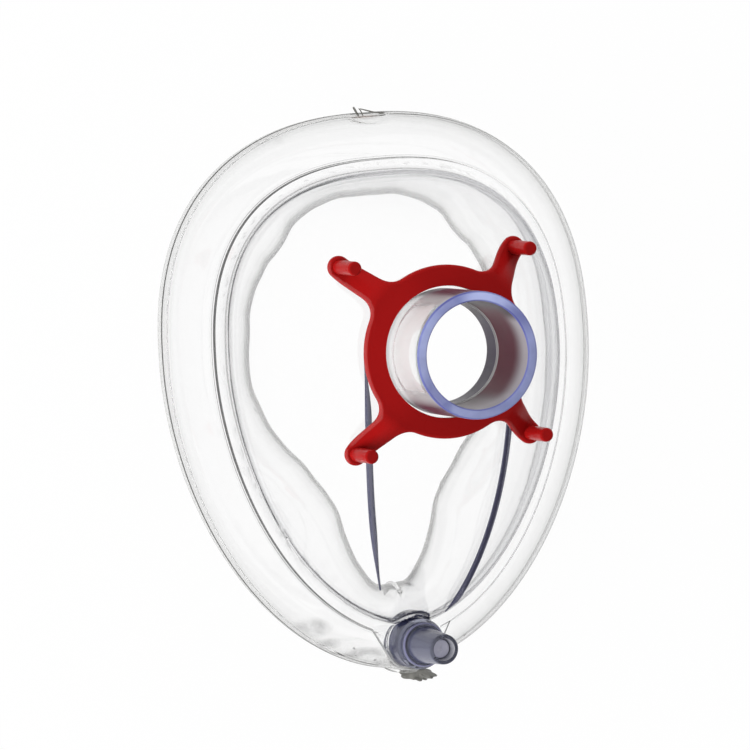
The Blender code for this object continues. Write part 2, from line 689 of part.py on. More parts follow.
def make_valve_plunger(finish):
    top = LEVELS["mouth"] - STEM_BELOW_MOUTH
    return turned("valve_plunger", [
        (0, LEVELS["disc_low"]),
        (PLUNGER_DISC_RADIUS, LEVELS["disc_low"]),
        (PLUNGER_DISC_RADIUS, LEVELS["disc_top"]),
        (STEM_RADIUS, LEVELS["disc_top"]),
        (STEM_RADIUS, top - EDGE_ROUNDING),
        (STEM_RADIUS - EDGE_ROUNDING, top),
        (0, top),
    ], VALVE_PLACE, finish, facets=FINE_FACETS)


def make_valve_seal(finish):
    hole = STEM_RADIUS + VALVE_CLEARANCE
    return turned("valve_seal", [
        (hole, LEVELS["seal_low"]),
        (PLUNGER_DISC_RADIUS, LEVELS["seal_low"]),
        (PLUNGER_DISC_RADIUS, LEVELS["seal_top"]),
        (hole, LEVELS["seal_top"]),
    ], VALVE_PLACE, finish, facets=FINE_FACETS)


def make_valve_spring(finish):
    """A steel helix between the body's floor and the plunger's disc."""
    low, high = LEVELS["spring_low"] + WIRE_RADIUS, LEVELS["spring_top"] - WIRE_RADIUS
    steps = round(SPRING_TURNS * SPRING_STEPS_PER_TURN)
    turn = np.linspace(0, 2 * math.pi * SPRING_TURNS, steps + 1)
    rise = np.linspace(low, high, steps + 1)
    out = np.stack([np.cos(turn), np.sin(turn), np.zeros_like(turn)], 1)
    middle = SPRING_RADIUS * out + np.stack([np.zeros_like(turn), np.zeros_like(turn), rise], 1)
    middle[:, 1] += VALVE_PLACE[1]
    around = np.arange(WIRE_FACETS) * 2 * math.pi / WIRE_FACETS
    up = np.array([0, 0, 1.0])
    rings = middle[:, None] + WIRE_RADIUS * (
        out[:, None] * np.cos(around)[:, None] + up * np.sin(around)[:, None]
    )
    return lofted("valve_spring", rings, finish, close_ends=True)


def make_pivot():
    """An empty on the connector's axis, for the strap ring that turns about it."""
    pivot = bpy.data.objects.new("ring_pivot", None)
    pivot.location = (0, CONNECTOR_Y, RING_BASE)
    bpy.context.collection.objects.link(pivot)
    bpy.context.view_layer.update()
    return pivot


def main():
    clear_scene()
    clear_pvc = material("clear_pvc", (0.93, 0.94, 0.98), 0.05, alpha=0.35, transmission=1.0)
    soft_pvc = material("soft_clear_pvc", (0.96, 0.96, 0.97), 0.08, alpha=0.3, transmission=1.0)
    red = material("red_polypropylene", (0.50, 0.008, 0.010), 0.28)
    tinted = material("tinted_polycarbonate", (0.25, 0.27, 0.55), 0.12, alpha=0.6, transmission=0.8)
    pale = material("plunger_plastic", (0.62, 0.61, 0.68), 0.35)
    seal = material("seal_rubber", (0.30, 0.30, 0.33), 0.6)
    make_shell(clear_pvc)
    make_cushion(soft_pvc)
    make_hook_ring(red, make_pivot())
    make_valve_body(tinted)
    make_valve_nozzle(tinted)
    make_valve_plunger(pale)
    make_valve_seal(seal)
    make_valve_spring(steel("spring_steel"))


main()
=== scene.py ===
# %% [markdown]
# # A clear anaesthesia face mask
# The mask is a clear plastic dome glued on an inflated cushion. A red ring with four hooks sits round
# the breathing connector, and a small blue-tinted valve fills the cushion. Nearly everything is
# see-through, so its looks come from thin walls, from edges and from what lies behind them. That is
# why each wall here is a real wall with two sides, and not a surface with a see-through paint.

import math

import bmesh
import bpy
import numpy as np
from mathutils import Matrix, Vector


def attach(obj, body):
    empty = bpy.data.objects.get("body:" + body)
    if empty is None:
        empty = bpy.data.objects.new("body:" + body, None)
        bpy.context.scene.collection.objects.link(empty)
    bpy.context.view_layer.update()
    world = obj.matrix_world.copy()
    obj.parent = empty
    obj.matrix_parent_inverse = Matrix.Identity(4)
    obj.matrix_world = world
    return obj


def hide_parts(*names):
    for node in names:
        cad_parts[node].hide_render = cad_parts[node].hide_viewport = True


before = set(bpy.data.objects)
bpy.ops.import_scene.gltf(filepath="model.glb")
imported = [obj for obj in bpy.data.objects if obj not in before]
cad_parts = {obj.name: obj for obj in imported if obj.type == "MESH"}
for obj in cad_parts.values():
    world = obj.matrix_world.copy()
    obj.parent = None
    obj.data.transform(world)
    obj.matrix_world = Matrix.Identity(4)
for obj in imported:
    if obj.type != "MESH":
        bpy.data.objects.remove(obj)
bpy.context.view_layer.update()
scene = bpy.context.scene
scene.view_settings.view_transform = "Standard"
MM = 0.001

# %% [markdown]
# ## Camera
# The picture was taken with a long lens, from the mask's left side and about 21 degrees off the
# connector's axis. A camera's own axes are the columns of its matrix: to the right, up, and back
# towards the photographer. They follow from two angles and a small roll.

# %% Camera
TILT, BEARING, ROLL = math.radians(20.763), math.radians(11.939), math.radians(-3.883)
AIM = Vector((-8.332, 5.376, 29.5)) * MM
CAMERA_DISTANCE = 1.294
SENSOR_WIDTH = 36.0
FOCAL_PIXELS, PICTURE_PIXELS = 6242.3, 750

back = Vector((-math.sin(TILT) * math.cos(BEARING), math.sin(TILT) * math.sin(BEARING), math.cos(TILT)))
level = Vector((0, 1, 0)).cross(back).normalized()
upright = back.cross(level)
right = math.cos(ROLL) * level + math.sin(ROLL) * upright
up = -math.sin(ROLL) * level + math.cos(ROLL) * upright

lens = bpy.data.cameras.new("photo_camera")
lens.sensor_width = SENSOR_WIDTH
lens.lens = SENSOR_WIDTH * FOCAL_PIXELS / PICTURE_PIXELS
lens.clip_end = 10
camera = bpy.data.objects.new("photo_camera", lens)
facing = Matrix((right, up, back)).transposed().to_4x4()
camera.matrix_world = Matrix.Translation(AIM + back * CAMERA_DISTANCE) @ facing
scene.collection.objects.link(camera)
scene.camera = camera
print("camera lens, mm:", round(lens.lens, 1))

# %% [markdown]
# ## From a grid of points to a piece
# Each shape below is a grid of points, worked out as one array: rows of points in millimetres. Quads
# join neighbouring points. A grid may close on itself round each row, from its last row to its first,
# or both, as on a tyre. Where a row shrinks to one point, its doubles are merged, which closes the pole.

# %% Grid helpers


def grid_faces(rows, columns, close_rows, close_columns):
    """Quads of a grid: point (i, j), its neighbour in the row, the two after them in the next row."""
    i = np.arange(rows if close_rows else rows - 1)[:, None]
    j = np.arange(columns if close_columns else columns - 1)[None, :]
    i_next, j_next = (i + 1) % rows, (j + 1) % columns
    corners = [i * columns + j, i * columns + j_next, i_next * columns + j_next, i_next * columns + j]
    return np.stack(np.broadcast_arrays(*corners), -1).reshape(-1, 4)


def piece(name, grids, finish, sharp_degrees=38):
    """One object from one or more grids, given as (points, close_rows, close_columns)."""
    mesh = bpy.data.meshes.new(name)
    vertices, faces, start = [], [], 0
    for points, close_rows, close_columns in grids:
        rows, columns = points.shape[:2]
        vertices.append(points.reshape(-1, 3) * MM)
        faces.append(grid_faces(rows, columns, close_rows, close_columns) + start)
        start += rows * columns
    mesh.from_pydata(np.concatenate(vertices).tolist(), [], np.concatenate(faces).tolist())
    clean = bmesh.new()
    clean.from_mesh(mesh)
    bmesh.ops.remove_doubles(clean, verts=clean.verts, dist=1e-7)
    bmesh.ops.dissolve_degenerate(clean, edges=clean.edges, dist=1e-7)
    bmesh.ops.recalc_face_normals(clean, faces=clean.faces)
    clean.to_mesh(mesh)
    clean.free()
    mesh.shade_smooth()
    mesh.set_sharp_from_angle(angle=math.radians(sharp_degrees))
    made = bpy.data.objects.new(name, mesh)
    scene.collection.objects.link(made)
    if finish:
        mesh.materials.append(finish)
    return made


def turned(profile, place, facets=96):
    """Grid of a profile of (radius, height) pairs turned about an upright axis: x and y go round a
    circle of that radius, z is the height."""
    profile = np.asarray(profile, float)
    turn = np.arange(facets) * 2 * math.pi / facets
    x = place[0] + profile[:, :1] * np.cos(turn)
    y = place[1] + profile[:, :1] * np.sin(turn)
    z = np.broadcast_to(profile[:, 1:], x.shape)
    return np.stack([x, y, z], -1)


def corner(radius, height, size, start, stop, steps=5):
    """Points of a rounded corner: an arc of the given size about (radius, height), in degrees."""
    turn = np.radians(np.linspace(start, stop, steps))
    return list(zip(radius + size * np.cos(turn), height + size * np.sin(turn)))


def rounding(radius, height, size, inner=False):
    """The rounded upper corner of a turned piece: at its outside, or at the mouth of a hole in it."""
    if inner:
        return corner(radius + size, height - size, size, 180, 90)
    return corner(radius - size, height - size, size, 90, 0)


def finished(thing, sharp_degrees=38):
    """Bakes a piece's modifiers into its mesh, so that nothing live is left on it."""
    bpy.context.view_layer.update()
    graph = bpy.context.evaluated_depsgraph_get()
    mesh = bpy.data.meshes.new_from_object(thing.evaluated_get(graph))
    thing.modifiers.clear()
    thing.data = mesh
    mesh.shade_smooth()
    mesh.set_sharp_from_angle(angle=math.radians(sharp_degrees))


def vectors(items, name):
    """One vector of each of a mesh's vertices or faces, as the rows of an array."""
    values = np.zeros(len(items) * 3)
    items.foreach_get(name, values)
    return values.reshape(-1, 3)


def refinished(thing, finish, chosen):
    """Gives another finish to the faces that are chosen by their centres (in mm) and normals."""
    mesh = thing.data
    slots = np.zeros(len(mesh.polygons), np.int32)
    mesh.polygons.foreach_get("material_index", slots)
    mesh.materials.append(finish)
    picked = chosen(vectors(mesh.polygons, "center") / MM, vectors(mesh.polygons, "normal"))
    slots[picked] = len(mesh.materials) - 1
    mesh.polygons.foreach_set("material_index", slots)


def combined(thing, operation, *others):
    """Joins other pieces to a piece, or cuts them out of it, and removes them."""
    for other in others:
        step = thing.modifiers.new(other.name, "BOOLEAN")
        step.operation = operation
        step.solver = "EXACT"
        step.object = other
        if operation == "UNION":
            step.material_mode = "TRANSFER"
    finished(thing)
    for other in others:
        bpy.data.objects.remove(other)
    print(thing.name, "has", len(thing.data.polygons), "faces")


def spaced(low, high, count, density):
    """Values from low to high that crowd together where density(value) is large: equal steps along
    the running total of the density."""
    fine = np.linspace(low, high, 4000)
    total = np.concatenate([[0], np.cumsum((density(fine[1:]) + density(fine[:-1])) / 2)])
    return np.interp(np.linspace(0, total[-1], count), total, fine)


def hump(value, middle, spread):
    """A bell curve: 1 at the middle, fading over the spread."""
    return np.exp(-0.5 * ((value - middle) / spread) ** 2)


def smooth(value, low, high):
    """0 below low, 1 above high, and an S-curve between them."""
    part = np.clip((value - low) / (high - low), 0, 1)
    return part * part * (3 - 2 * part)


# %% [markdown]
# ## Shader maths as Python
# A material's nodes are clearer as an expression than as a list of links. A `Wire` stands for one
# socket: `0.2 + 3 * dust` adds the Math nodes that work it out. Every other kind of node comes from
# one method, which takes what goes into its sockets, then the output that is wanted, then settings.

# %% Shader helpers


class Wire:
    """The output of a node, used like a number."""

    def __init__(self, finish, socket):
        self.finish = finish
        self.socket = socket

    def __add__(self, other):
        return self.finish.math("ADD", self, other)

    def __radd__(self, other):
        return self.finish.math("ADD", other, self)

    def __sub__(self, other):
        return self.finish.math("SUBTRACT", self, other)

    def __rsub__(self, other):
        return self.finish.math("SUBTRACT", other, self)

    def __mul__(self, other):
        return self.finish.math("MULTIPLY", self, other)

    def __rmul__(self, other):
        return self.finish.math("MULTIPLY", other, self)

    def __truediv__(self, other):
        return self.finish.math("DIVIDE", self, other)

    def __pow__(self, other):
        return self.finish.math("POWER", self, other)


class Finish:
    """A material or a world, and the nodes in it."""

    def __init__(self, owner, output_kind="OutputMaterial"):
        self.owner = owner
        owner.use_nodes = True
        self.nodes = owner.node_tree.nodes
        self.links = owner.node_tree.links
        self.nodes.clear()
        self.end = self.nodes.new("ShaderNode" + output_kind)

    def node(self, kind, sockets, output=0, **settings):
        """Adds a node of a kind. A socket takes a plain value or a Wire, and a setting its value."""
        made = self.nodes.new("ShaderNode" + kind)
        for key, value in settings.items():
            if key == "stops":
                self.set_stops(made.color_ramp, value)
            else:
                setattr(made, key, value)
        for key, value in sockets.items():
            if isinstance(value, Wire):
                self.links.new(value.socket, made.inputs[key])
            else:
                made.inputs[key].default_value = value
        return Wire(self, made.outputs[output])

    @staticmethod
    def set_stops(ramp, stops):
        while len(ramp.elements) < len(stops):
            ramp.elements.new(0.5)
        for element, (position, colour) in zip(ramp.elements, stops):
            element.position = position
            element.color = (*colour, 1)

    def math(self, operation, a, b):
        return self.node("Math", {0: a, 1: b}, operation=operation)

    def clamped(self, value):
        return self.node("Clamp", {"Value": value})

    def mixed_colour(self, factor, a, b):
        return self.node("Mix", {0: factor, 6: a, 7: b}, output=2, data_type="RGBA")

    def mixed_shader(self, factor, a, b):
        return self.node("MixShader", {0: factor, 1: a, 2: b})

    def place(self):
        return self.node("TexCoord", {}, output="Object")

    def along(self, axis):
        """X, Y or Z of the spot on the piece, in millimetres."""
        return self.node("SeparateXYZ", {0: self.place()}, output=axis) / MM

    def ramped(self, value, low, high):
        """0 below low, 1 above high, and an S-curve between them."""
        sockets = {"Value": value, "From Min": low, "From Max": high}
        return self.node("MapRange", sockets, interpolation_type="SMOOTHSTEP")

    def attribute(self, name):
        return self.node("Attribute", {}, output="Fac", attribute_name=name)

    def spot(self, centre, radii, soft=0.5):
        """1 within an oval about a point in millimetres, and fading out over a share of its radii."""
        middle, size = [value * MM for value in centre], [value * MM for value in radii]
        offset = self.node("VectorMath", {0: self.place(), 1: middle}, operation="SUBTRACT")
        scaled = self.node("VectorMath", {0: offset, 1: size}, operation="DIVIDE")
        away = self.node("VectorMath", {0: scaled}, output="Value", operation="LENGTH")
        return 1 - self.ramped(away, 1 - soft, 1)

    def noise(self, scale, detail=3.0, roughness=0.5, stretch=None):
        """Cloudy noise over the piece, its scale in spots per metre."""
        where = self.place()
        if stretch:
            where = self.node("Mapping", {"Vector": where, "Scale": stretch})
        sockets = {"Vector": where, "Scale": scale, "Detail": detail, "Roughness": roughness}
        return self.node("TexNoise", sockets)

    def bump(self, height, distance):
        return self.node("Bump", {"Height": height, "Distance": distance, "Strength": 1.0})

    def looking_ray(self):
        """1 for rays from the camera, and for those that passed through the plastic or bounced off it."""
        kinds = ("Camera", "Transmission", "Glossy")
        rays = [self.node("LightPath", {}, output=f"Is {kind} Ray") for kind in kinds]
        return self.clamped(rays[0] + rays[1] + rays[2])

    def close(self, surface):
        self.links.new(surface.socket, self.end.inputs["Surface"])
        return self.owner


def grey(value):
    return (value, value, value, 1.0)


def given(value, finish):
    """A plain value, or what a function works out with the finish's nodes."""
    return value(finish) if callable(value) else value


# %% [markdown]
# ## See-through plastic
# Clear plastic bends light (transmission with an index of refraction) and mirrors a little. Two more
# plastics are mixed in: a milky one, for haze and thick places, and also for painted shade and painted
# light at some places, and a dark one that grows where a wall is seen edge-on, because the light then
# crosses more of it. Layer Weight measures how edge-on a surface is. That is what draws the grey
# outlines of a clear thing on a white ground. Shadow rays pass through, so that the mask throws a pale
# shadow and not a black one.

# %% See-through plastic


def see_through(
    name, tint, milk, haze, edge_colour, edge, edge_power=2.0,
    gloss=0.01, wave=0.04, wave_size=90, index=1.5, mirror=0.3,
):
    """Refraction, mixed with milk by haze, and that with the edge colour by edge * (edge-on share) **
    edge_power. Milk and haze may be plain values or functions of the finish. The wave is the height in
    mm of the surface's slow ripple, with wave_size ripples per metre."""
    f = Finish(bpy.data.materials.new(name))
    uneven = f.noise(120, detail=4)
    fine = f.noise(900, detail=2)
    ripple = f.bump(f.noise(wave_size, detail=1), wave * MM)
    clear = f.node("BsdfPrincipled", {
        "Base Color": f.mixed_colour(uneven, (*tint, 1), (*[0.99 * part for part in tint], 1)),
        "Roughness": gloss + 0.05 * fine * uneven,
        "Transmission Weight": 1.0,
        "IOR": index,
        "Normal": ripple,
    })
    plain = {"Roughness": 0.3, "Specular IOR Level": mirror, "Normal": ripple}
    milky = f.node("BsdfPrincipled", {"Base Color": given(milk, f), **plain})
    dark = f.node("BsdfPrincipled", {"Base Color": edge_colour, **plain})
    edge_on = f.node("LayerWeight", {"Blend": 0.5, "Normal": ripple}, output="Facing")
    body = f.mixed_shader(f.clamped(given(haze, f) * (0.85 + 0.3 * uneven)), clear, milky)
    body = f.mixed_shader(f.clamped(edge * edge_on ** edge_power), body, dark)
    shadow_ray = f.node("LightPath", {}, output="Is Shadow Ray")
    passing = f.node("BsdfTransparent", {"Color": (*[0.97 * part for part in tint], 1)})
    return f.close(f.mixed_shader(0.92 * shadow_ray, body, passing))


def dome_haze_and_painted_shade_line(f):
    """Clear, with a painted dark line of shade low on the right, where the side is seen edge-on: x = 34.3 +
    0.085 y - 0.008 y ** 2 in mm.
    """
    y = f.along("Y")
    aside = f.math("ABSOLUTE", f.along("X") - 34.3 - 0.085 * y + 0.008 * y * y, 0.0)
    low = f.ramped(f.along("Z"), 19.3, 19.8) * (1 - f.ramped(f.along("Z"), 24.0, 30.0))
    long = f.ramped(y, -16.0, 2.0) * (1 - f.ramped(y, 30.0, 40.0))
    return 0.001 + 0.5 * low * long * (1 - f.ramped(aside, 0.15, 0.55))


dome_plastic = see_through(
    "clear_dome_plastic", tint=(1.0, 1.0, 1.0), milk=(0.10, 0.10, 0.15, 1), haze=dome_haze_and_painted_shade_line,
    edge_colour=(0.09, 0.09, 0.13, 1), edge=0.65, edge_power=3.4,
)


def painted_pale_right_half(f):
    return f.ramped(f.along("X"), -16, 6)


def flange_edge_painted_shade(f):
    """Painted shade and light: dark along the left half of the flange's edge, pale along the right half."""
    return f.mixed_colour(painted_pale_right_half(f), grey(0.07), grey(0.55))


def flange_edge_painted_haze(f):
    return 0.85 - 0.45 * painted_pale_right_half(f)


# The flange's edge: painted shade on its left half, painted light on its right half.
flange_edge_painted = see_through(
    "painted_shade_flange_edge", tint=(0.8, 0.8, 0.8), milk=flange_edge_painted_shade, haze=flange_edge_painted_haze,
    edge_colour=grey(0.05), edge=0.15, gloss=0.05,
)
# Painted shade: the ribs and the recess round the valve are a dark slate, in place of the shade that a clear
# rib shows.
rib_and_recess_painted_shade = see_through(
    "painted_shade_rib_plastic", tint=(0.20, 0.20, 0.29), milk=(0.035, 0.035, 0.065, 1), haze=0.75,
    edge_colour=(0.03, 0.03, 0.09, 1), edge=0.8, edge_power=1.6,
    gloss=0.02, wave=0.02, wave_size=150, mirror=0.1,
)
valve_plastic = see_through(
    "slate_valve_plastic", tint=(0.46, 0.475, 0.57), milk=(0.055, 0.06, 0.095, 1), haze=0.22,
    edge_colour=(0.03, 0.035, 0.11, 1), edge=0.6, gloss=0.04, wave=0.03, wave_size=200,
)
# A painted highlight: a pale lavender line round the collar's rounded top edge.
collar_painted_highlight = see_through(
    "lavender_collar_painted_highlight", tint=(0.6, 0.6, 0.8), milk=(0.21, 0.21, 0.34, 1), haze=0.7,
    edge_colour=(0.10, 0.10, 0.25, 1), edge=0.1, gloss=0.05,
)
# Painted light: a pale grey in the nozzle's bore, in place of the light seen down it.
luer_bore_painted_light = see_through(
    "valve_bore_painted_light", tint=(0.8, 0.8, 0.82), milk=(0.34, 0.34, 0.36, 1), haze=0.85,
    edge_colour=(0.16, 0.16, 0.18, 1), edge=0.2, gloss=0.1, mirror=0.1,
)
print("see-through finishes:", len(bpy.data.materials))

# %% [markdown]
# The cushion's film has marks of its own, each placed on the film: a few bubbles, a rosy spot where the
# blown film was pinched off at the chin, and painted grey shade where the film folds, most of it at the
# nose end. The wall round the face opening carries painted grey shade too, where it is seen edge-on.
# Its share is a number that the mesh carries at each point, written below where the cushion is made.

# %% Film finish
# Centres in mm. A fold's painted shade has a centre, three half sizes and a strength.
BUBBLES = ((-11.4, -52.7, 14.0), (-6.5, -55.6, 13.0), (13.5, -52.5, 14.0))
FOLD_SHADE_SPOTS = (
    ((-21.0, -47.6, 15.0), (5.0, 3.0, 8.0), 0.75),
    ((-17.0, -51.6, 15.0), (3.5, 2.0, 8.0), 0.50),
    ((-10.0, -54.4, 15.0), (8.5, 2.2, 8.0), 0.75),
    ((-4.2, -56.4, 15.0), (4.5, 1.8, 8.0), 0.75),
    ((-21.6, 55.0, 12.5), (4.2, 2.0, 4.0), 0.16),
    ((0.8, -41.2, 9.0), (5.0, 1.4, 5.0), 0.45),
    ((-25.5, -0.6, 9.0), (1.4, 1.1, 5.0), 0.40),
)
CHIN_SPOT = ((0.0, 58.9, 12.0), (5.0, 1.5, 2.8))


def film_milk(f):
    return f.mixed_colour(f.spot(*CHIN_SPOT), grey(0.33), (0.36, 0.23, 0.19, 1))


def film_haze_and_painted_shade(f):
    haze = 0.001 + 0.025 * f.ramped(f.noise(45, detail=5, roughness=0.6), 0.58, 0.78)
    for place in BUBBLES:
        haze = haze + 0.8 * f.spot(place, (0.4, 0.4, 0.6), soft=0.4)
    broken = f.ramped(f.noise(170, detail=5), 0.32, 0.62)
    # Painted grey shade in the folds, broken up by noise. The last term is the painted shade on the wall
    # round the face opening.
    for centre, radii, strength in FOLD_SHADE_SPOTS:
        haze = haze + strength * f.spot(centre, radii, soft=0.9) * broken
    return haze + 0.45 * f.spot(*CHIN_SPOT, soft=0.9) + 0.42 * f.attribute("opening_wall")


film_plastic = see_through(
    "soft_cushion_film", tint=(1.0, 1.0, 1.0), milk=film_milk, haze=film_haze_and_painted_shade,
    edge_colour=(0.30, 0.30, 0.29, 1), edge=0.50, wave=0.06, wave_size=45, index=1.45,
)
lump_plastic = see_through(
    "pinched_film", tint=(0.6, 0.6, 0.57), milk=(0.16, 0.155, 0.14, 1), haze=0.65,
    edge_colour=grey(0.08), edge=0.6, edge_power=1.5, gloss=0.1, wave=0.2, wave_size=900,
)
print("film finishes:", film_plastic.name, lump_plastic.name)

# %% [markdown]
# ## Solid finishes
# The ring is glossy polypropylene: its red is a little uneven, and its gloss shows most where it is
# seen edge-on. A copy of it with a heavy clear coat paints a highlight on the rounded edges that face
# the lamp. The plunger is pale and dull, the seal is rubber, and the spring is drawn wire with marks
# that run round it.

# %% Solid finishes


def ring_red(name, highlight_coat):
    """Deep red. The highlight coat, from 0 to 1, is the weight of a clear coat that paints a highlight."""
    f = Finish(bpy.data.materials.new(name))
    flow = f.noise(90, detail=3, stretch=(1, 1, 3))
    marks = f.noise(1400, detail=2)
    edge_on = f.node("LayerWeight", {"Blend": 0.5}, output="Facing")
    return f.close(f.node("BsdfPrincipled", {
        "Base Color": f.mixed_colour(flow, (0.28, 0.0055, 0.0055, 1), (0.33, 0.0070, 0.0070, 1)),
        "Roughness": 0.24 + 0.1 * marks,
        "Specular IOR Level": 0.04,
        "Coat Weight": f.clamped(highlight_coat + 0.22 * edge_on ** 3 + 0.01 * marks),
        "Coat Roughness": 0.12,
        "Normal": f.bump(flow, 0.04 * MM),
    }))


def speckled(name, grains, low, high, rough, relief, detail=3, metal=0.0, stretch=None):
    """A plain finish whose colour (low to high), roughness and relief in mm follow one fine noise."""
    f = Finish(bpy.data.materials.new(name))
    grain = f.noise(grains, detail=detail, stretch=stretch)
    return f.close(f.node("BsdfPrincipled", {
        "Base Color": f.mixed_colour(grain, low, high),
        "Metallic": metal,
        "Roughness": rough + 0.2 * grain,
        "Normal": f.bump(grain, relief * MM),
    }))


red = ring_red("moulded_ring_red", 0.0)
# A copy of the red with a heavy clear coat, which paints a highlight on the lit edges.
ring_painted_highlight = ring_red("ring_edge_painted_highlight", 0.9)
plunger_pale = speckled(
    "pale_plunger_plastic", 1800, (0.52, 0.51, 0.60, 1), (0.66, 0.65, 0.72, 1), rough=0.4, relief=0.02,
)
rubber = speckled(
    "valve_seal_rubber", 2600, (0.16, 0.16, 0.18, 1), (0.30, 0.30, 0.33, 1), rough=0.6, relief=0.03, detail=4,
)
wire_steel = speckled(
    "drawn_spring_wire", 3000, (0.52, 0.52, 0.50, 1), (0.68, 0.68, 0.66, 1), rough=0.22, relief=0.01,
    detail=2, metal=1.0, stretch=(1, 1, 6),
)
print("solid finishes:", [m.name for m in (red, ring_painted_highlight, plunger_pale, rubber, wire_steel)])

# %% [markdown]
# ## The cushion's outline
# Seen from above the cushion is drop-shaped. Its edge is two half superellipses that meet at the
# widest line: a round one at the chin and a slimmer one at the nose. One side is tabulated with its
# outward direction, by share of its length from chin (0) to nose (1), and the other side mirrors it.

# %% Outline
HALF_WIDTH, WIDEST_Y = 47.85, 10.1
CHIN_REACH, CHIN_POWERS = 49.1, (2.34, 2.42)
NOSE_REACH, NOSE_POWERS = 68.5, (1.85, 1.91)


def outline_table(samples=2400):
    """x = width * |cos t| ** (2 / a) and y = widest + reach * |sin t| ** (2 / b), with the powers and
    the reach of the chin where y is above the widest line, and of the nose below it."""
    turn = np.linspace(math.pi / 2, -math.pi / 2, samples + 1)
    across, along = np.cos(turn), np.sin(turn)
    chin = along >= 0
    power_x = np.where(chin, 2 / CHIN_POWERS[0], 2 / NOSE_POWERS[0])
    power_y = np.where(chin, 2 / CHIN_POWERS[1], 2 / NOSE_POWERS[1])
    x = HALF_WIDTH * np.abs(across) ** power_x
    y = WIDEST_Y + np.where(chin, CHIN_REACH, -NOSE_REACH) * np.abs(along) ** power_y
    points = np.stack([x, y], 1)
    steps = np.linalg.norm(np.diff(points, axis=0), axis=1)
    ahead = np.gradient(points, axis=0)
    normals = np.stack([-ahead[:, 1], ahead[:, 0]], 1)
    normals /= np.linalg.norm(normals, axis=1)[:, None]
    normals[0], normals[-1] = (0, 1), (0, -1)
    return np.concatenate([[0], np.cumsum(steps)]) / steps.sum(), points, normals


OUTLINE_SHARE, OUTLINE_POINTS, OUTLINE_NORMALS = outline_table()


def read(table, share):
    return np.stack([np.interp(share, OUTLINE_SHARE, table[:, i]) for i in (0, 1)], -1)


def inset(share, distance):
    """The point this far inside the cushion's edge: edge - distance * outward direction."""
    distance = np.broadcast_to(distance, np.shape(share))
    return read(OUTLINE_POINTS, share) - distance[..., None] * read(OUTLINE_NORMALS, share)


def both_sides(half):
    """Closes one side's rows, chin to nose, with their mirror images back to the chin."""
    half = half.copy()
    half[[0, -1], ..., 0] = 0
    other = half[-2:0:-1].copy()
    other[..., 0] *= -1
    return np.concatenate([half, other])


print("outline from y", np.round(OUTLINE_POINTS[0, 1], 1), "to", np.round(OUTLINE_POINTS[-1, 1], 1), "mm")

# %% [markdown]
# ## Levels and places
# These are the CAD part's own sizes, in millimetres, apart from the valve's cup and the openings
# round it, which differ by some tenths. The shapes below use them, so every piece lies where the
# solid that it stands for lies.

# %% Levels
HALF_HEIGHT, FILM_HEIGHT = 8.7, 17.4
OUTER_BULGE, CREST_FLAT, FILM_WALL = 9.2, 0.3, 0.6
FLANGE_UNDERSIDE, FLANGE_TOP, DOME_TOP = 17.7, 19.0, 44.3
FLANGE_INSET_AT_CHIN, FLANGE_INSET_AT_SIDES, FLANGE_INSET_AT_NOSE = 9.7, 8.5, 7.5
SHELL_WALL, FLANGE_WIDTH, FOOT_FILLET = 1.5, 2.4, 0.8
EDGE_ROUNDING, MOUTH_ROUNDING, RIM_ROUNDING = 0.3, 0.35, 0.4
DOME_RISE, DOME_POWERS = DOME_TOP - FLANGE_TOP, (1.5, 0.69)
CONNECTOR_Y, CONNECTOR_RADIUS, CONNECTOR_TOP = 10.35, 13.0, 67.5
MOUTH_RADIUS, BORE_RADIUS, LEDGE, LEDGE_LEVEL = 11.0, 10.5, 0.25, 51.3
SHOULDER_RADIUS, SHOULDER_LEVEL = 14.6, 48.4
NECK_FILLET = 1.9
NECK_REACH, FILLET_LEVEL = SHOULDER_RADIUS + NECK_FILLET, DOME_TOP + NECK_FILLET
VALVE_RADIUS, PORT_RADIUS, TONGUE_RADIUS, RECESS_RADIUS, BOSS_RADIUS = 5.34, 5.4, 6.0, 5.65, 6.1
TONGUE_FLARE_DEGREES, TONGUE_SIDE, VALVE_BEYOND_DOME = 29, 9.0, 3.7
PARTING_LEVEL = 10.5


def flange_inset(share):
    """8.5 mm at the sides, blended with cos squared into 9.7 mm at the chin and 7.5 at the nose."""
    end = np.where(share < 0.5, FLANGE_INSET_AT_CHIN, FLANGE_INSET_AT_NOSE)
    return FLANGE_INSET_AT_SIDES + (end - FLANGE_INSET_AT_SIDES) * np.cos(math.pi * share) ** 2


def dome_inset(share):
    return flange_inset(share) + FLANGE_WIDTH


DOME_TIP_Y = float(inset(1.0, dome_inset(1.0))[1])
VALVE = (0.0, DOME_TIP_Y - VALVE_BEYOND_DOME)
VALVE_AWAY = CONNECTOR_Y - VALVE[1]


def from_valve(points):
    return np.hypot(points[..., 0] - VALVE[0], points[..., 1] - VALVE[1])


print("valve axis at y", round(VALVE[1], 2), "mm")

# %% [markdown]
# ## The cushion
# The real cushion is one blown bladder of soft film. Its section is a quarter round on the outside
# and a longer half oval on the inside, and it swells inwards beside the cheeks and the nose. The film
# is a grid of sections, crowded where it carries detail: the two ridges of the mould's parting line,
# the raised land to which the flange is glued, the boss round the valve, and some soft dents.

# %% Cushion surface
WIDTH_AT_ENDS, WIDER_AT_SIDES = 17.0, 1.8
CHEEK_SWELL, CHEEK_SHARE, NOSE_SWELL, NOSE_SHARE, SWELL_SHARE = 3.6, 0.24, 8.4, 0.735, 0.098
LAND_MARGIN, LAND_HEIGHT, LAND_ROW, LAND_RADIUS_AT_VALVE = 0.6, 0.24, 82, 7.4
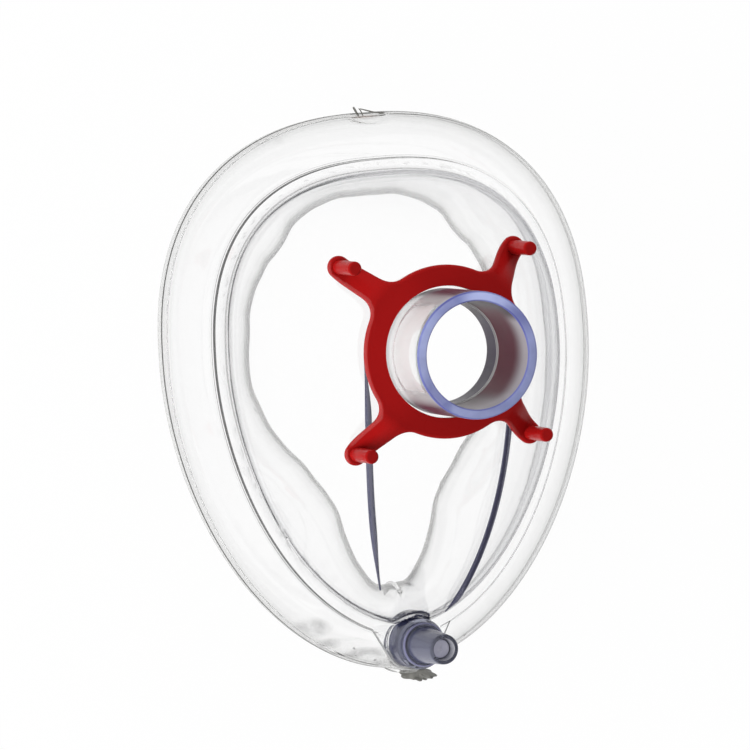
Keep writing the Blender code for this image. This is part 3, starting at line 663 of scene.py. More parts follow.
# A dent has a centre, three half sizes and a push, all in mm.
DENTS = (
    ((0.6, 58.6, 12.4), (4.6, 1.8, 3.4), (0, -0.3, -0.2)),
    ((-25.2, -0.6, 8.7), (1.5, 1.1, 6.0), (-1.3, 0.2, 0)),
    ((1.2, -41.6, 8.7), (4.6, 1.5, 6.0), (0.1, 0.45, 0)),
    ((-13.0, -52.2, 13.6), (6.5, 2.0, 4.0), (0.2, 0.3, -0.25)),
)


def tube_width(share):
    """17 mm at the ends and 18.8 at the sides, and two swellings beside the cheeks and the nose."""
    plain = WIDTH_AT_ENDS + WIDER_AT_SIDES * np.sin(math.pi * share) ** 2
    cheek = CHEEK_SWELL * hump(share, CHEEK_SHARE, SWELL_SHARE)
    return plain + cheek + NOSE_SWELL * hump(share, NOSE_SHARE, SWELL_SHARE)


def inner_waves(share):
    """The face side of the blown film is a little uneven, by up to 0.4 mm."""
    turns = 2 * math.pi * share
    return 0.20 * np.sin(5 * turns + 1.0) + 0.14 * np.sin(9 * turns + 2.0) + 0.05 * np.sin(17 * turns)


def film_sections(share, turn):
    """Each point lies reach * cos(turn) outwards from the crest line and 9 * sin(turn) above the
    middle, pressed flat at the top and the bottom. The reach is the outer bulge on the outside and
    the rest of the tube's width on the inside."""
    crest, out = inset(share, OUTER_BULGE), read(OUTLINE_NORMALS, share)
    depth = tube_width(share) - OUTER_BULGE + inner_waves(share)
    reach = np.where(np.cos(turn) > 0, OUTER_BULGE, depth[:, None]) * np.cos(turn)
    x = crest[:, None, 0] + out[:, None, 0] * reach
    y = crest[:, None, 1] + out[:, None, 1] * reach
    z = HALF_HEIGHT + np.clip((HALF_HEIGHT + CREST_FLAT) * np.sin(turn), -HALF_HEIGHT, HALF_HEIGHT)
    return np.stack([x, y, z], -1)


def film_rows():
    """Directions round the section in degrees, 0 outwards and 90 up. They crowd at the parting line
    and at 82 degrees, where the land's edge runs."""

    def crowd(degrees):
        parting_line = 1 + 4 * hump(degrees, 4.5, 3) + 4 * hump(degrees, 19, 3)
        land_edge = 12 * hump(degrees, LAND_ROW, 1.2)
        top = smooth(degrees, 56, 66) - smooth(degrees, 100, 110)
        return parting_line + land_edge + 1.5 * top

    return spaced(-180, 180, 125, crowd)[:-1]


def seam_ridges(share, rows):
    """Two fine ridges on the outside, 1 mm below the mould's parting level and 1.1 mm above it, with a
    slight groove between them. The rest of the outside lies 0.05 mm further in."""
    out = read(OUTLINE_NORMALS, share)
    height = HALF_HEIGHT + (HALF_HEIGHT + CREST_FLAT) * np.sin(np.radians(rows))
    low, high = hump(height, PARTING_LEVEL - 1, 0.16), hump(height, PARTING_LEVEL + 1.1, 0.16)
    ridges = 0.08 * low + 0.07 * high - 0.05 * hump(height, PARTING_LEVEL, 0.5)
    shift = out[:, None, :] * np.where(np.abs(rows) < 90, ridges - 0.05, 0)[None, :, None]
    return np.concatenate([shift, np.zeros(shift.shape[:2] + (1,))], -1)


def pressed(points, centre, radii, push):
    """Moves the film within an oval about a place, with a soft edge."""
    away = np.linalg.norm((points - np.array(centre)) / np.array(radii), axis=-1)
    return points + (1 - smooth(away, 0.6, 1.15))[..., None] * np.array(push)


def film_surface():
    """Sections from chin to nose. Row 82 is led along the land's edge, which lies 0.6 mm outside the
    flange: cos(turn) = 1 - (flange inset - 0.6) / bulge. The film inside it stands 0.24 mm higher."""
    share = spaced(0, 1, 225, lambda s: 1 + 2.2 * hump(s, 1.0, 0.05) + 1.6 * hump(s, 0.0, 0.03))
    rows = film_rows()
    edge = np.degrees(np.arccos(1 - (flange_inset(share) - LAND_MARGIN) / OUTER_BULGE))
    turn = np.radians(rows + (edge - LAND_ROW)[:, None] * hump(rows, LAND_ROW, 14))
    points = both_sides(film_sections(share, turn) + seam_ridges(share, rows))
    top = points[..., 2] > HALF_HEIGHT
    away = from_valve(points)
    round_valve = smooth(LAND_RADIUS_AT_VALVE - away, -0.12, 0.12)
    raised = np.maximum(smooth(rows, LAND_ROW - 0.5, LAND_ROW + 0.5), round_valve)
    points[..., 2] += top * LAND_HEIGHT * (raised - 1) * smooth(points[..., 2], 12, 17)
    boss = (1 - smooth(away, BOSS_RADIUS - 0.3, BOSS_RADIUS + 1.2)) * top
    points[..., 2] += (FILM_HEIGHT - points[..., 2]) * boss
    for centre, radii, push in DENTS:
        points = pressed(points, centre, radii, push)
    points[..., 2] = np.maximum(points[..., 2], 0.03)
    return points


film_points = film_surface()
print("cushion surface grid:", film_points.shape)

# %% [markdown]
# The valve's port is a round hole in the film. The grid's points that lie just inside it are moved out
# to its circle, and the faces within are dropped. Solidify then gives the film its wall, inwards.

# %% Cushion piece


def cut_port(thing, place, radius):
    """Drops the faces above the middle within the radius, after moving their rim onto the circle."""
    clean = bmesh.new()
    clean.from_mesh(thing.data)
    centre = Vector((place[0] * MM, place[1] * MM))
    inside = {v for v in clean.verts if v.co.z > 12 * MM and (v.co.xy - centre).length < radius * MM}
    rim = {v for v in inside if any(e.other_vert(v) not in inside for e in v.link_edges)}
    for v in rim:
        v.co.xy = centre + (v.co.xy - centre).normalized() * radius * MM
    gone = [f for f in clean.faces if all(v in inside for v in f.verts)]
    bmesh.ops.delete(clean, geom=gone, context="FACES")
    clean.to_mesh(thing.data)
    clean.free()


def opening_wall(points, normals):
    """0 to 1: the share of painted grey shade, by how near the film is to the steepest line of the wall
    round the face opening, which stands in for its look where it is seen edge-on. The line runs a little
    above it where the wall looks to the right, and below it where it looks left."""
    line = OUTLINE_POINTS[::24]
    away = np.hypot(np.abs(points[:, :1]) - line[:, 0], points[:, 1:2] - line[:, 1]).min(1)
    flat = np.hypot(normals[:, 0], normals[:, 1]) + 1e-9
    lean = normals[:, 2] * np.sign(normals[:, 0]) - 0.3 * np.abs(normals[:, 0]) / flat
    return smooth(away, 10, 12) * (1 - smooth(np.abs(lean), 0.15, 0.45)) * smooth(points[:, 2], 0.5, 2.0)


cushion = piece("inflated_cushion", [(film_points, True, True)], film_plastic, sharp_degrees=60)
cut_port(cushion, VALVE, PORT_RADIUS)
wall = cushion.modifiers.new("film_wall", "SOLIDIFY")
wall.thickness = FILM_WALL * MM
wall.offset = -1
finished(cushion, sharp_degrees=60)
film = cushion.data.vertices
wall_shade_share = cushion.data.attributes.new("opening_wall", "FLOAT", "POINT")
wall_shade_share.data.foreach_set("value", opening_wall(vectors(film, "co") / MM, vectors(film, "normal")))
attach(cushion, "mask")
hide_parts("cushion")
print("cushion faces:", len(cushion.data.polygons))

# %% [markdown]
# Where the blown film was cut off it leaves flash: a stiff little flap at the chin, and a torn lump
# beside the valve. The flap is four round strands, and the lump is a ball whose radius wavers.

# %% Flash at the two ends
# The points of each strand in plan, and its radius.
STRANDS = (
    (((-2.1, 60.45), (-1.9, 60.1), (-0.95, 58.3)), 0.26),
    (((-0.9, 60.1), (-0.5, 59.6), (0.1, 58.2)), 0.13),
    (((-0.6, 60.0), (2.4, 59.05), (4.7, 58.75)), 0.17),
    (((3.6, 58.8), (4.9, 58.6)), 0.3),
)


def strand(points, radius, sides=10):
    """A round strand through a few points at the parting line, closed at both ends."""
    path = np.array([(x, y, PARTING_LEVEL) for x, y in points], float)
    steps = np.linspace(0, len(path) - 1, 6 * (len(path) - 1) + 1)
    path = np.stack([np.interp(steps, np.arange(len(path)), path[:, i]) for i in range(3)], -1)
    ahead = np.gradient(path, axis=0)
    ahead /= np.linalg.norm(ahead, axis=1)[:, None]
    across = np.stack([-ahead[:, 1], ahead[:, 0], 0 * ahead[:, 0]], 1)
    turn = np.arange(sides) * 2 * math.pi / sides
    size = radius * (0.55 + 0.45 * np.sin(np.linspace(0.15, math.pi - 0.15, len(path))))[:, None, None]
    ring = across[:, None] * np.cos(turn)[:, None] + np.array([0, 0, 1.0]) * np.sin(turn)[:, None]
    bar = path[:, None] + size * ring
    return np.concatenate([path[:1, None].repeat(sides, 1), bar, path[-1:, None].repeat(sides, 1)])


def lump(centre, size, slant_degrees, columns=48, rows=26):
    """A ball of three half sizes, turned in plan, with radius 1 + sines of its two angles."""
    turn = np.arange(columns) * 2 * math.pi / columns
    tilt = np.linspace(-math.pi / 2, math.pi / 2, rows)[:, None]
    waver = 0.16 * np.sin(3 * turn + 1) + 0.12 * np.sin(5 * turn + 4 * tilt)
    radius = 1 + np.cos(tilt) * (waver + 0.09 * np.sin(9 * turn - 5 * tilt))
    flat = radius * np.cos(tilt)
    ball = np.stack([flat * np.cos(turn), flat * np.sin(turn), radius * np.sin(tilt)], -1)
    ball = ball * np.array(size)
    slant = math.radians(slant_degrees)
    x = ball[..., 0] * math.cos(slant) - ball[..., 1] * math.sin(slant)
    y = ball[..., 0] * math.sin(slant) + ball[..., 1] * math.cos(slant)
    return np.stack([x, y, ball[..., 2]], -1) + np.array(centre)


flap = [(strand(points, radius), False, True) for points, radius in STRANDS]
chin_flash = piece("chin_flash", flap, lump_plastic, sharp_degrees=60)
torn = [(lump((3.2, -59.5, 10.4), (3.9, 1.8, 1.2), -22), False, True)]
nose_flash = piece("nose_flash", torn, lump_plastic, sharp_degrees=60)
for flash in (chin_flash, nose_flash):
    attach(flash, "mask")
print("flash pieces:", chin_flash.name, nose_flash.name)

# %% [markdown]
# ## The dome
# Dome, flange and connector are one clear moulding. Its surface is a section turned about the
# connector, but with a foot whose distance changes with the bearing, because the mask isn't round.
# At the nose the flange reaches out in a tongue round the valve, and the dome's foot steps back.

# %% Dome surface


def about_connector(points):
    """Bearing from the nose direction and distance, as seen from the connector's axis."""
    x, y = points[..., 0], CONNECTOR_Y - points[..., 1]
    return np.arctan2(x, y), np.hypot(x, y)


NOSE_TO_CHIN = np.linspace(1, 0, 2401)
FOOT_BEARING, FOOT_REACH = about_connector(inset(NOSE_TO_CHIN, dome_inset(NOSE_TO_CHIN)))
EDGE_BEARING, EDGE_REACH = about_connector(inset(NOSE_TO_CHIN, flange_inset(NOSE_TO_CHIN)))


def tongue_line(samples=160):
    """An arc round the valve, then a straight side that flares out by 29 degrees."""
    flare = math.radians(TONGUE_FLARE_DEGREES)
    turn = np.linspace(0, math.pi / 2 - flare, samples)
    arc = TONGUE_RADIUS * np.stack([np.sin(turn), -np.cos(turn)], 1)
    climb = np.linspace(0, TONGUE_SIDE, samples)[1:, None]
    side = arc[-1] + climb * (math.sin(flare), math.cos(flare))
    return np.array(VALVE) + np.concatenate([arc, side])


TONGUE_BEARING, TONGUE_REACH = about_connector(tongue_line())


def foot_at(bearing):
    return np.interp(bearing, FOOT_BEARING, FOOT_REACH)


def edge_at(bearing):
    flange = np.interp(bearing, EDGE_BEARING, EDGE_REACH)
    return np.maximum(flange, np.interp(bearing, TONGUE_BEARING, TONGUE_REACH, right=0))


def recess_at(bearing):
    """Distance to the near side of the round recess about the valve, and far away beside it."""
    aside, ahead = VALVE_AWAY * np.sin(bearing), VALVE_AWAY * np.cos(bearing)
    inside = RECESS_RADIUS ** 2 - aside ** 2
    near = ahead - np.sqrt(np.maximum(inside, 0))
    return np.where((inside > 0) & (ahead > 0), near, VALVE_AWAY)


def dome_height(bearing, reach):
    """Flange top + rise * (1 - u ** 1.5) ** 0.69, with u the share of the way from neck to foot."""
    part = np.clip((reach - NECK_REACH) / (foot_at(bearing) - NECK_REACH), 0, 1)
    return FLANGE_TOP + DOME_RISE * (1 - part ** DOME_POWERS[0]) ** DOME_POWERS[1]


FILLET_START = (1 - (FOOT_FILLET / DOME_RISE) ** (1 / DOME_POWERS[1])) ** (1 / DOME_POWERS[0])


def shell_bearings():
    """Bearings on one side, close together at the tongue and its corner with the flange."""
    flange = np.interp(TONGUE_BEARING, EDGE_BEARING, EDGE_REACH)
    corner_bearing = TONGUE_BEARING[TONGUE_REACH > flange][-1]
    tip = np.linspace(0, corner_bearing, 46)
    share = np.linspace(0, 1, 150)
    around = about_connector(inset(share, dome_inset(share)))[0][::-1]
    return np.concatenate([tip, around[around > corner_bearing + 0.004]])


def shell_sections(bearing, dome_rows=42):
    """Rows of (distance, height) for all bearings: over the rim, down the tube, out over the neck, the
    dome and the flange, and back along the inside at one wall's thickness."""
    foot, edge, recess = foot_at(bearing), edge_at(bearing), recess_at(bearing)
    same = np.ones_like(bearing)
    rim = rounding(MOUTH_RADIUS, CONNECTOR_TOP, MOUTH_ROUNDING, inner=True)
    rim += rounding(CONNECTOR_RADIUS, CONNECTOR_TOP, RIM_ROUNDING)
    rim += [(CONNECTOR_RADIUS, z) for z in np.linspace(CONNECTOR_TOP - 1.2, SHOULDER_LEVEL, 8)]
    rim += rounding(SHOULDER_RADIUS, SHOULDER_LEVEL, EDGE_ROUNDING)
    fillet = corner(NECK_REACH, FILLET_LEVEL, NECK_FILLET, 180, 270, 9)
    rows = [(r * same, z * same) for r, z in rim + fillet]
    u = np.sin(np.linspace(0, math.pi / 2, dome_rows + 1))[1:, None]
    dome_r = NECK_REACH + u * (foot - NECK_REACH)
    dome_z = dome_height(bearing, dome_r)
    above = np.minimum(u, FILLET_START)
    outer_r = NECK_REACH + above * (foot - NECK_REACH)
    rows += list(zip(np.minimum(outer_r, recess), np.maximum(dome_z, FLANGE_TOP + FOOT_FILLET)))
    for r, z in corner(FOOT_FILLET, FOOT_FILLET, FOOT_FILLET, 180, 270, 7)[1:]:
        rows.append((np.minimum(outer_r[-1], recess) + r, (FLANGE_TOP + z) * same))
    for r, z in rounding(0, FLANGE_TOP, EDGE_ROUNDING):
        rows.append((edge + r, z * same))
    rows.append((edge, (FLANGE_UNDERSIDE + 0.15) * same))
    rows.append((edge - 0.15, FLANGE_UNDERSIDE * same))
    rows.append((np.minimum(foot, recess) - SHELL_WALL, FLANGE_UNDERSIDE * same))
    slope_r, slope_z = np.gradient(dome_r, axis=0), np.gradient(dome_z, axis=0)
    slope_r[-1], slope_z[-1] = 0, -1
    length = np.hypot(slope_r, slope_z)
    inner_r = np.minimum(dome_r + SHELL_WALL * slope_z / length, recess - SHELL_WALL)
    inner_z = dome_z - SHELL_WALL * slope_r / length
    rows += list(zip(inner_r[::-1], inner_z[::-1]))
    turn = np.linspace(math.pi / 2, 0, 9)
    neck_r = NECK_REACH - (NECK_REACH - BORE_RADIUS) * np.cos(turn)
    neck_z = FILLET_LEVEL - (NECK_FILLET + SHELL_WALL) * np.sin(turn)
    root, depth = BORE_RADIUS + LEDGE, CONNECTOR_TOP - LEDGE_LEVEL
    bore = [(BORE_RADIUS, LEDGE_LEVEL), (root, LEDGE_LEVEL)]
    for share in (0.25, 0.5, 0.75):
        bore.append((root + share * (MOUTH_RADIUS - root), LEDGE_LEVEL + share * depth))
    rows += [(r * same, z * same) for r, z in list(zip(neck_r, neck_z)) + bore]
    return np.array([row[0] for row in rows]).T, np.array([row[1] for row in rows]).T


def shell_grid():
    bearing = shell_bearings()
    r, z = shell_sections(bearing)
    x = r * np.sin(bearing)[:, None]
    y = CONNECTOR_Y - r * np.cos(bearing)[:, None]
    return both_sides(np.stack([x, y, z], -1)[::-1])


shell_points = shell_grid()
print("dome grid:", shell_points.shape)

# %% [markdown]
# The connector's walls have their own finishes. Thick plastic seen edge-on gathers its blue tint, which
# makes a periwinkle rim, with painted light towards the chin. The outside is a painted light grey on its
# left side, with painted mauve, a painted reflection of the red ring, where it turns away. The bore runs
# from dark painted shade deep down to paler grey near the rim, with a painted reflection of the red
# ring, dark maroon, at the right.

# %% Connector finishes
# The direction of the tube's painted pale side, and the values of `towards` between which its left half
# begins, and its painted pale part.
PAINTED_PALE_DEGREES, LEFT_HALF, PAINTED_PALE_PART = 168, (0.25, 0.45), (0.70, 0.91)


def towards(f, degrees):
    """1 in one direction from the connector's axis, 0 in the opposite one: (1 + cos) / 2."""
    angle = f.math("ARCTAN2", f.along("Y") - CONNECTOR_Y, f.along("X"))
    return 0.5 + 0.5 * f.math("COSINE", angle - math.radians(degrees), 0.0)


def rim_milk(f):
    """Periwinkle, with darker spots at three places and along both edges, and painted light that makes it
    paler towards the chin side.
    """
    aside = f.node("CombineXYZ", {"X": f.along("X"), "Y": f.along("Y") - CONNECTOR_Y})
    reach = f.node("VectorMath", {0: aside}, output="Value", operation="LENGTH")
    lines = f.ramped(reach, CONNECTOR_RADIUS - 0.45, CONNECTOR_RADIUS - 0.05)
    lines = lines + 1 - f.ramped(reach, MOUTH_RADIUS + 0.05, MOUTH_RADIUS + 0.4)
    spots = towards(f, 115) ** 30 + towards(f, 38) ** 40 + towards(f, 218) ** 30
    # Painted light, with random unevenness: paler towards the chin side, at 88 degrees.
    light = f.clamped(0.75 * towards(f, 88) ** 2 + 0.9 * f.noise(170) - 0.2)
    plain = f.mixed_colour(light, (0.20, 0.225, 0.43, 1), (0.46, 0.52, 0.88, 1))
    return f.mixed_colour(f.clamped(0.8 * lines + 0.7 * spots), plain, (0.10, 0.11, 0.34, 1))


def bore_painted_shade_and_reflection(f):
    """Painted shade and reflection: dark below the ledge, paler from it towards the rim, with a near-black
    painted streak, and a painted maroon reflection of the red ring in the right half between them. The
    ledge itself is a painted pale highlight line."""
    up = f.along("Z") - LEDGE_LEVEL
    # Painted reflection of the red ring: maroon in the right half, from the ledge up to the upper bore.
    painted_reflection_share = f.ramped(towards(f, -3), 0.70, 0.86) * f.ramped(up, -0.4, 0.5)
    maroon = painted_reflection_share * (1 - f.ramped(up, 8.2, 14.7)) * (0.8 + 0.4 * f.noise(90))
    # Painted shade: dark low in the bore, paler towards the rim.
    plain = f.mixed_colour(f.ramped(up, 0.7, 15.2), (0.10, 0.08, 0.085, 1), (0.27, 0.25, 0.265, 1))
    plain = f.mixed_colour(f.ramped(up, -0.4, 0.0), (0.055, 0.045, 0.065, 1), plain)
    # A near-black painted streak of shade at 62 degrees.
    plain = f.mixed_colour(0.9 * f.ramped(towards(f, 62), 0.93, 0.98), plain, (0.018, 0.009, 0.012, 1))
    plain = f.mixed_colour(f.clamped(maroon), plain, (0.070, 0.014, 0.023, 1))
    # The ledge's painted pale highlight line.
    line = f.ramped(up, -0.35, -0.05) * (1 - f.ramped(up, 0.2, 0.7))
    return f.mixed_colour(0.8 * line, plain, grey(0.45))


def bore_haze_for_painted_reflection(f):
    """Nearly solid at the right, where the painted maroon stands in for the ring seen through the wall, and
    clear at the left.
    """
    return 0.08 + 0.9 * f.ramped(towards(f, -5), 0.30, 0.60)


# Painted light: the tube's pale side faces the key lamp.
def painted_pale_side(f):
    return f.ramped(towards(f, PAINTED_PALE_DEGREES), *PAINTED_PALE_PART)


# Painted light and reflection: pale grey on the lit side, and dark mauve, a reflection of the red ring,
# elsewhere.
def outside_painted_light_and_reflection(f):
    return f.mixed_colour(painted_pale_side(f), (0.060, 0.030, 0.045, 1), (0.76, 0.82, 0.82, 1))


def outside_painted_haze(f):
    """Painted light grey on the left side, and painted mauve streaks, a reflection of the red ring, where the
    tube turns away from it.
    """
    streaks = f.ramped(f.noise(60, detail=3, stretch=(1, 1, 0.25)), 0.32, 0.62)
    left = f.ramped(towards(f, PAINTED_PALE_DEGREES), *LEFT_HALF)
    return 0.1 + 0.12 * left + (1 - painted_pale_side(f)) * left * (0.6 + 0.35 * streaks)


rim_plastic = see_through(
    "periwinkle_rim", tint=(0.55, 0.60, 0.90), milk=rim_milk, haze=0.88,
    edge_colour=(0.12, 0.13, 0.40, 1), edge=0.5, gloss=0.03, wave=0.01, wave_size=150, mirror=0.1,
)
outside_painted_plastic = see_through(
    "connector_outside_painted_light", tint=(0.99, 0.99, 0.99), milk=outside_painted_light_and_reflection, haze=outside_painted_haze,
    edge_colour=(0.14, 0.09, 0.12, 1), edge=0.5, edge_power=9.0,
    gloss=0.02, wave=0.03, wave_size=150, mirror=0.1,
)
bore_painted_plastic = see_through(
    "connector_bore_painted_shade", tint=(0.97, 0.97, 0.97), milk=bore_painted_shade_and_reflection, haze=bore_haze_for_painted_reflection,
    edge_colour=(0.2, 0.18, 0.2, 1), edge=0.05, gloss=0.02, wave=0.02, wave_size=150, mirror=0.03,
)
print("connector finishes:", rim_plastic.name, outside_painted_plastic.name, bore_painted_plastic.name)

# %% [markdown]
# Two ribs stiffen the dome. They pass the neck on both sides and draw together towards the nose. Each
# is a low bar with a rounded top, swept along a line that is laid on the dome. It is joined to the
# dome, so that no face is left inside the plastic, and its faces keep their dark finish, which is
# painted shade.

# %% Ribs, and the finished dome
RIB_SPREAD, RIB_PULL, RIB_POWER, RIB_LINE_START = 15.9, 10.0, 3.2, 18.0
RIB_RISES_AT, LEFT_RIB_ENDS_AT = 10, -40
RIB_HALF_WIDTH, RIB_ROOT, RIB_SHOULDER, RIB_CROWN = 0.55, 0.7, 0.85, 0.35


def swept(path, across, upward, profile, taper):
    """Carries a closed profile of (sideways, up) pairs along a path with its own two directions. Its
    upper part is scaled by the taper of each station."""
    sideways, high = np.asarray(profile, float).T
    lifted = np.where(high > 0, high * taper[:, None], high)
    spread = sideways * (0.25 + 0.75 * taper[:, None])
    return path[:, None] + across[:, None] * spread[..., None] + upward[:, None] * lifted[..., None]


def capped(sections):
    """Closes a swept bar by shrinking a copy of its end sections to their middles."""
    first = np.broadcast_to(sections[0].mean(0), sections[0].shape)
    last = np.broadcast_to(sections[-1].mean(0), sections[-1].shape)
    return np.concatenate([first[None], sections, last[None]])


def rib_grid(side, stations=150):
    """x = 15.9 - 10 * a ** 3.2, with a the share of the way from y = 18 to the dome's tip. The ribs
    rise from the dome at y = 10, and the left one dies out again at y = -40."""
    along = np.linspace(0, 1, stations)
    x = RIB_SPREAD - RIB_PULL * along ** RIB_POWER
    y = RIB_LINE_START + (DOME_TIP_Y - RIB_LINE_START) * along
    bearing, reach = about_connector(np.stack([x, y], 1))
    end, fading = (LEFT_RIB_ENDS_AT, 0.70) if side < 0 else (DOME_TIP_Y, 0.93)
    keep = (reach < foot_at(bearing) - 0.6) & (y < RIB_RISES_AT) & (y > end)
    path = np.stack([side * x, y, dome_height(bearing, reach)], 1)[keep]
    ahead = np.gradient(path, axis=0)
    ahead /= np.linalg.norm(ahead, axis=1)[:, None]
    across = np.stack([-ahead[:, 1], ahead[:, 0], np.zeros(len(ahead))], 1)
    across /= np.linalg.norm(across, axis=1)[:, None]
    upward = np.cross(across, ahead)
    upward *= np.sign(upward[:, 2])[:, None]
    turn = np.linspace(0, math.pi, 13)
    section = [(-RIB_HALF_WIDTH, -RIB_ROOT), (RIB_HALF_WIDTH, -RIB_ROOT)]
    section += list(zip(RIB_HALF_WIDTH * np.cos(turn), RIB_SHOULDER + RIB_CROWN * np.sin(turn)))
    share = np.linspace(0, 1, len(path))
    taper = 0.1 + 0.9 * smooth(share, 0.0, 0.25) * (1 - smooth(share, fading, 1.0))
    return capped(swept(path, across, upward, section, taper))


def from_connector(centres):
    return np.hypot(centres[:, 0], centres[:, 1] - CONNECTOR_Y)


def is_rim(centres, normals):
    return centres[:, 2] > CONNECTOR_TOP - 0.45


def is_outside(centres, normals):
    near = np.abs(from_connector(centres) - CONNECTOR_RADIUS) < 0.1
    return near & (centres[:, 2] > SHOULDER_LEVEL) & ~is_rim(centres, normals)


def is_bore(centres, normals):
    return (from_connector(centres) < MOUTH_RADIUS + 0.1) & ~is_rim(centres, normals)


def is_recess(centres, normals):
    return (from_valve(centres) < RECESS_RADIUS + 0.3) & (centres[:, 2] > FLANGE_TOP + 0.3)


def is_flange_edge(centres, normals):
    bearing, reach = about_connector(np.column_stack([np.abs(centres[:, 0]), centres[:, 1]]))
    level = (centres[:, 2] > FLANGE_UNDERSIDE + 0.02) & (centres[:, 2] < FLANGE_TOP - 0.03)
    return level & (edge_at(bearing) - reach < 0.35)


shell = piece("clear_dome", [(shell_points, True, True)], dome_plastic)
for finish, chosen in (
    (rim_plastic, is_rim), (outside_painted_plastic, is_outside), (bore_painted_plastic, is_bore),
    (rib_and_recess_painted_shade, is_recess), (flange_edge_painted, is_flange_edge),
):
    refinished(shell, finish, chosen)
left_rib = piece("rib_left", [(rib_grid(-1), False, True)], rib_and_recess_painted_shade)
right_rib = piece("rib_right", [(rib_grid(1), False, True)], rib_and_recess_painted_shade)
combined(shell, "UNION", left_rib, right_rib)
drill = turned([(0, 15), (PORT_RADIUS, 15), (PORT_RADIUS, 22), (0, 22)], VALVE, 128)
combined(shell, "DIFFERENCE", piece("valve_hole_cutter", [(drill, False, True)], None))
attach(shell, "mask")
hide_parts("shell")

# %% [markdown]
# ## The hook ring
# The strap ring is moulded flat, with four arms that dip towards the dome and end in a heel with an
# upright peg. Its outer edge is one closed loop in plan. Each point of the loop carries a section: up
# round the rounded edge, over the crowned top to the hole, and back along the underside. The whole
# ring stands 1.4 degrees round from the even position, as in the picture.

# %% Hook ring
RING_BASE, RING_THICKNESS, RING_HOLE, RING_RADIUS, RING_EDGE = 48.7, 2.4, 13.55, 17.85, 0.6
ARM_LENGTH, ARM_DIP, ARM_ROOT, ARM_END, ARM_FILLET = 9.4, 6.4, 2.7, 2.35, 4.2
RING_CROWN_WIDTH, RING_CROWN_HEIGHT, RING_CONE, RING_TURN = 0.7, 0.5, 0.8, 1.4
HOLE_BEVEL, HOLE_BEVEL_MIDDLE = 0.25, 0.07
PEG_RADIUS, PEG_TOP, PEG_TAPER, PEG_ROUNDING = 1.5, 53.0, 0.005, 0.45
PEG_REACH = RING_RADIUS + ARM_LENGTH


def ring_loop(steps=11):
    """For each arm: an arc of the ring, a fillet out of it, a straight taper, a round end, and back."""
    offset = ARM_ROOT + ARM_FILLET
    centre = math.sqrt((RING_RADIUS + ARM_FILLET) ** 2 - offset ** 2)
    leave = math.atan2(offset, centre)
    turn = np.linspace(-math.pi / 4, -leave, steps)
    ring_arc = RING_RADIUS * np.stack([np.cos(turn), np.sin(turn)], 1)
    turn = np.linspace(math.pi - leave, math.pi / 2, steps)[1:]
    fillet = np.stack([centre + ARM_FILLET * np.cos(turn), -offset + ARM_FILLET * np.sin(turn)], 1)
    part = np.linspace(0, 1, steps)[1:-1]
    taper = np.stack([centre + (PEG_REACH - centre) * part, -(ARM_ROOT + (ARM_END - ARM_ROOT) * part)], 1)
    turn = np.linspace(-math.pi / 2, 0, steps)
    end = np.stack([PEG_REACH + ARM_END * np.cos(turn), ARM_END * np.sin(turn)], 1)
    side = np.concatenate([ring_arc, fillet, taper, end])
    arm = np.concatenate([side, side[-2:0:-1] * (1, -1)])
    loop = []
    for k in range(4):
        turn = math.pi / 2 * (k + 0.5) + math.radians(RING_TURN)
        loop.append(arm @ np.array([[math.cos(turn), math.sin(turn)], [-math.sin(turn), math.cos(turn)]]))
    return np.concatenate(loop)


def moved_in(loop, distance):
    """The loop moved towards its inside, square to its own line at each point."""
    ahead = np.roll(loop, -1, 0) - np.roll(loop, 1, 0)
    ahead /= np.linalg.norm(ahead, axis=1)[:, None]
    return loop + distance * np.stack([-ahead[:, 1], ahead[:, 0]], 1)


def ring_level(points, height):
    """Height in the plate less the arm's dip, an S-curve from the ring to the heel."""
    return RING_BASE + height - ARM_DIP * smooth(np.linalg.norm(points, axis=-1), RING_RADIUS, PEG_REACH)


def cone(points):
    """How far the plate's top has fallen off at each point: by 0.8 mm in all on the way outwards."""
    return RING_CONE * smooth(np.linalg.norm(points, axis=-1), RING_HOLE - 1.5, RING_RADIUS + 1.0)


def ring_grid():
    """The section's rows: up the rounded edge, over the crown to the hole, down it and back below. The
    plate takes many rows, because a few long quads would wrinkle where the arms leave the ring."""
    loop = ring_loop()
    turn = np.linspace(0, math.pi / 2, 8)
    edge = [(RING_EDGE * (1 - math.sin(t)), RING_EDGE * (1 - math.cos(t))) for t in turn]
    crown = [(RING_CROWN_WIDTH * (1 - math.cos(t)), RING_CROWN_HEIGHT * (math.sin(t) - 1)) for t in turn]
    rows = [(moved_in(loop, inward), height) for inward, height in edge]
    for inward, drop in crown:
        points = moved_in(loop, inward)
        rows.append((points, RING_THICKNESS + drop - cone(points)))
    rim = rows[-1][0]
    hole_line = rim / np.linalg.norm(rim, axis=1)[:, None]
    shares = np.linspace(0, 1, 27)[1:]
    over = [rim + (hole_line * (RING_HOLE + HOLE_BEVEL) - rim) * share for share in shares]
    over = [(points, RING_THICKNESS - cone(points)) for points in over]
    over.append((hole_line * (RING_HOLE + HOLE_BEVEL_MIDDLE), RING_THICKNESS - HOLE_BEVEL_MIDDLE))
    over.append((hole_line * RING_HOLE, RING_THICKNESS - HOLE_BEVEL))
    back = [points for points, _ in over[::-1]]
    rows += over + list(zip(back, [HOLE_BEVEL, HOLE_BEVEL_MIDDLE] + [0.0] * (len(back) - 2)))
    sections = [np.column_stack([p[:, 0], p[:, 1] + CONNECTOR_Y, ring_level(p, h)]) for p, h in rows]
    return np.stack(sections, 1)


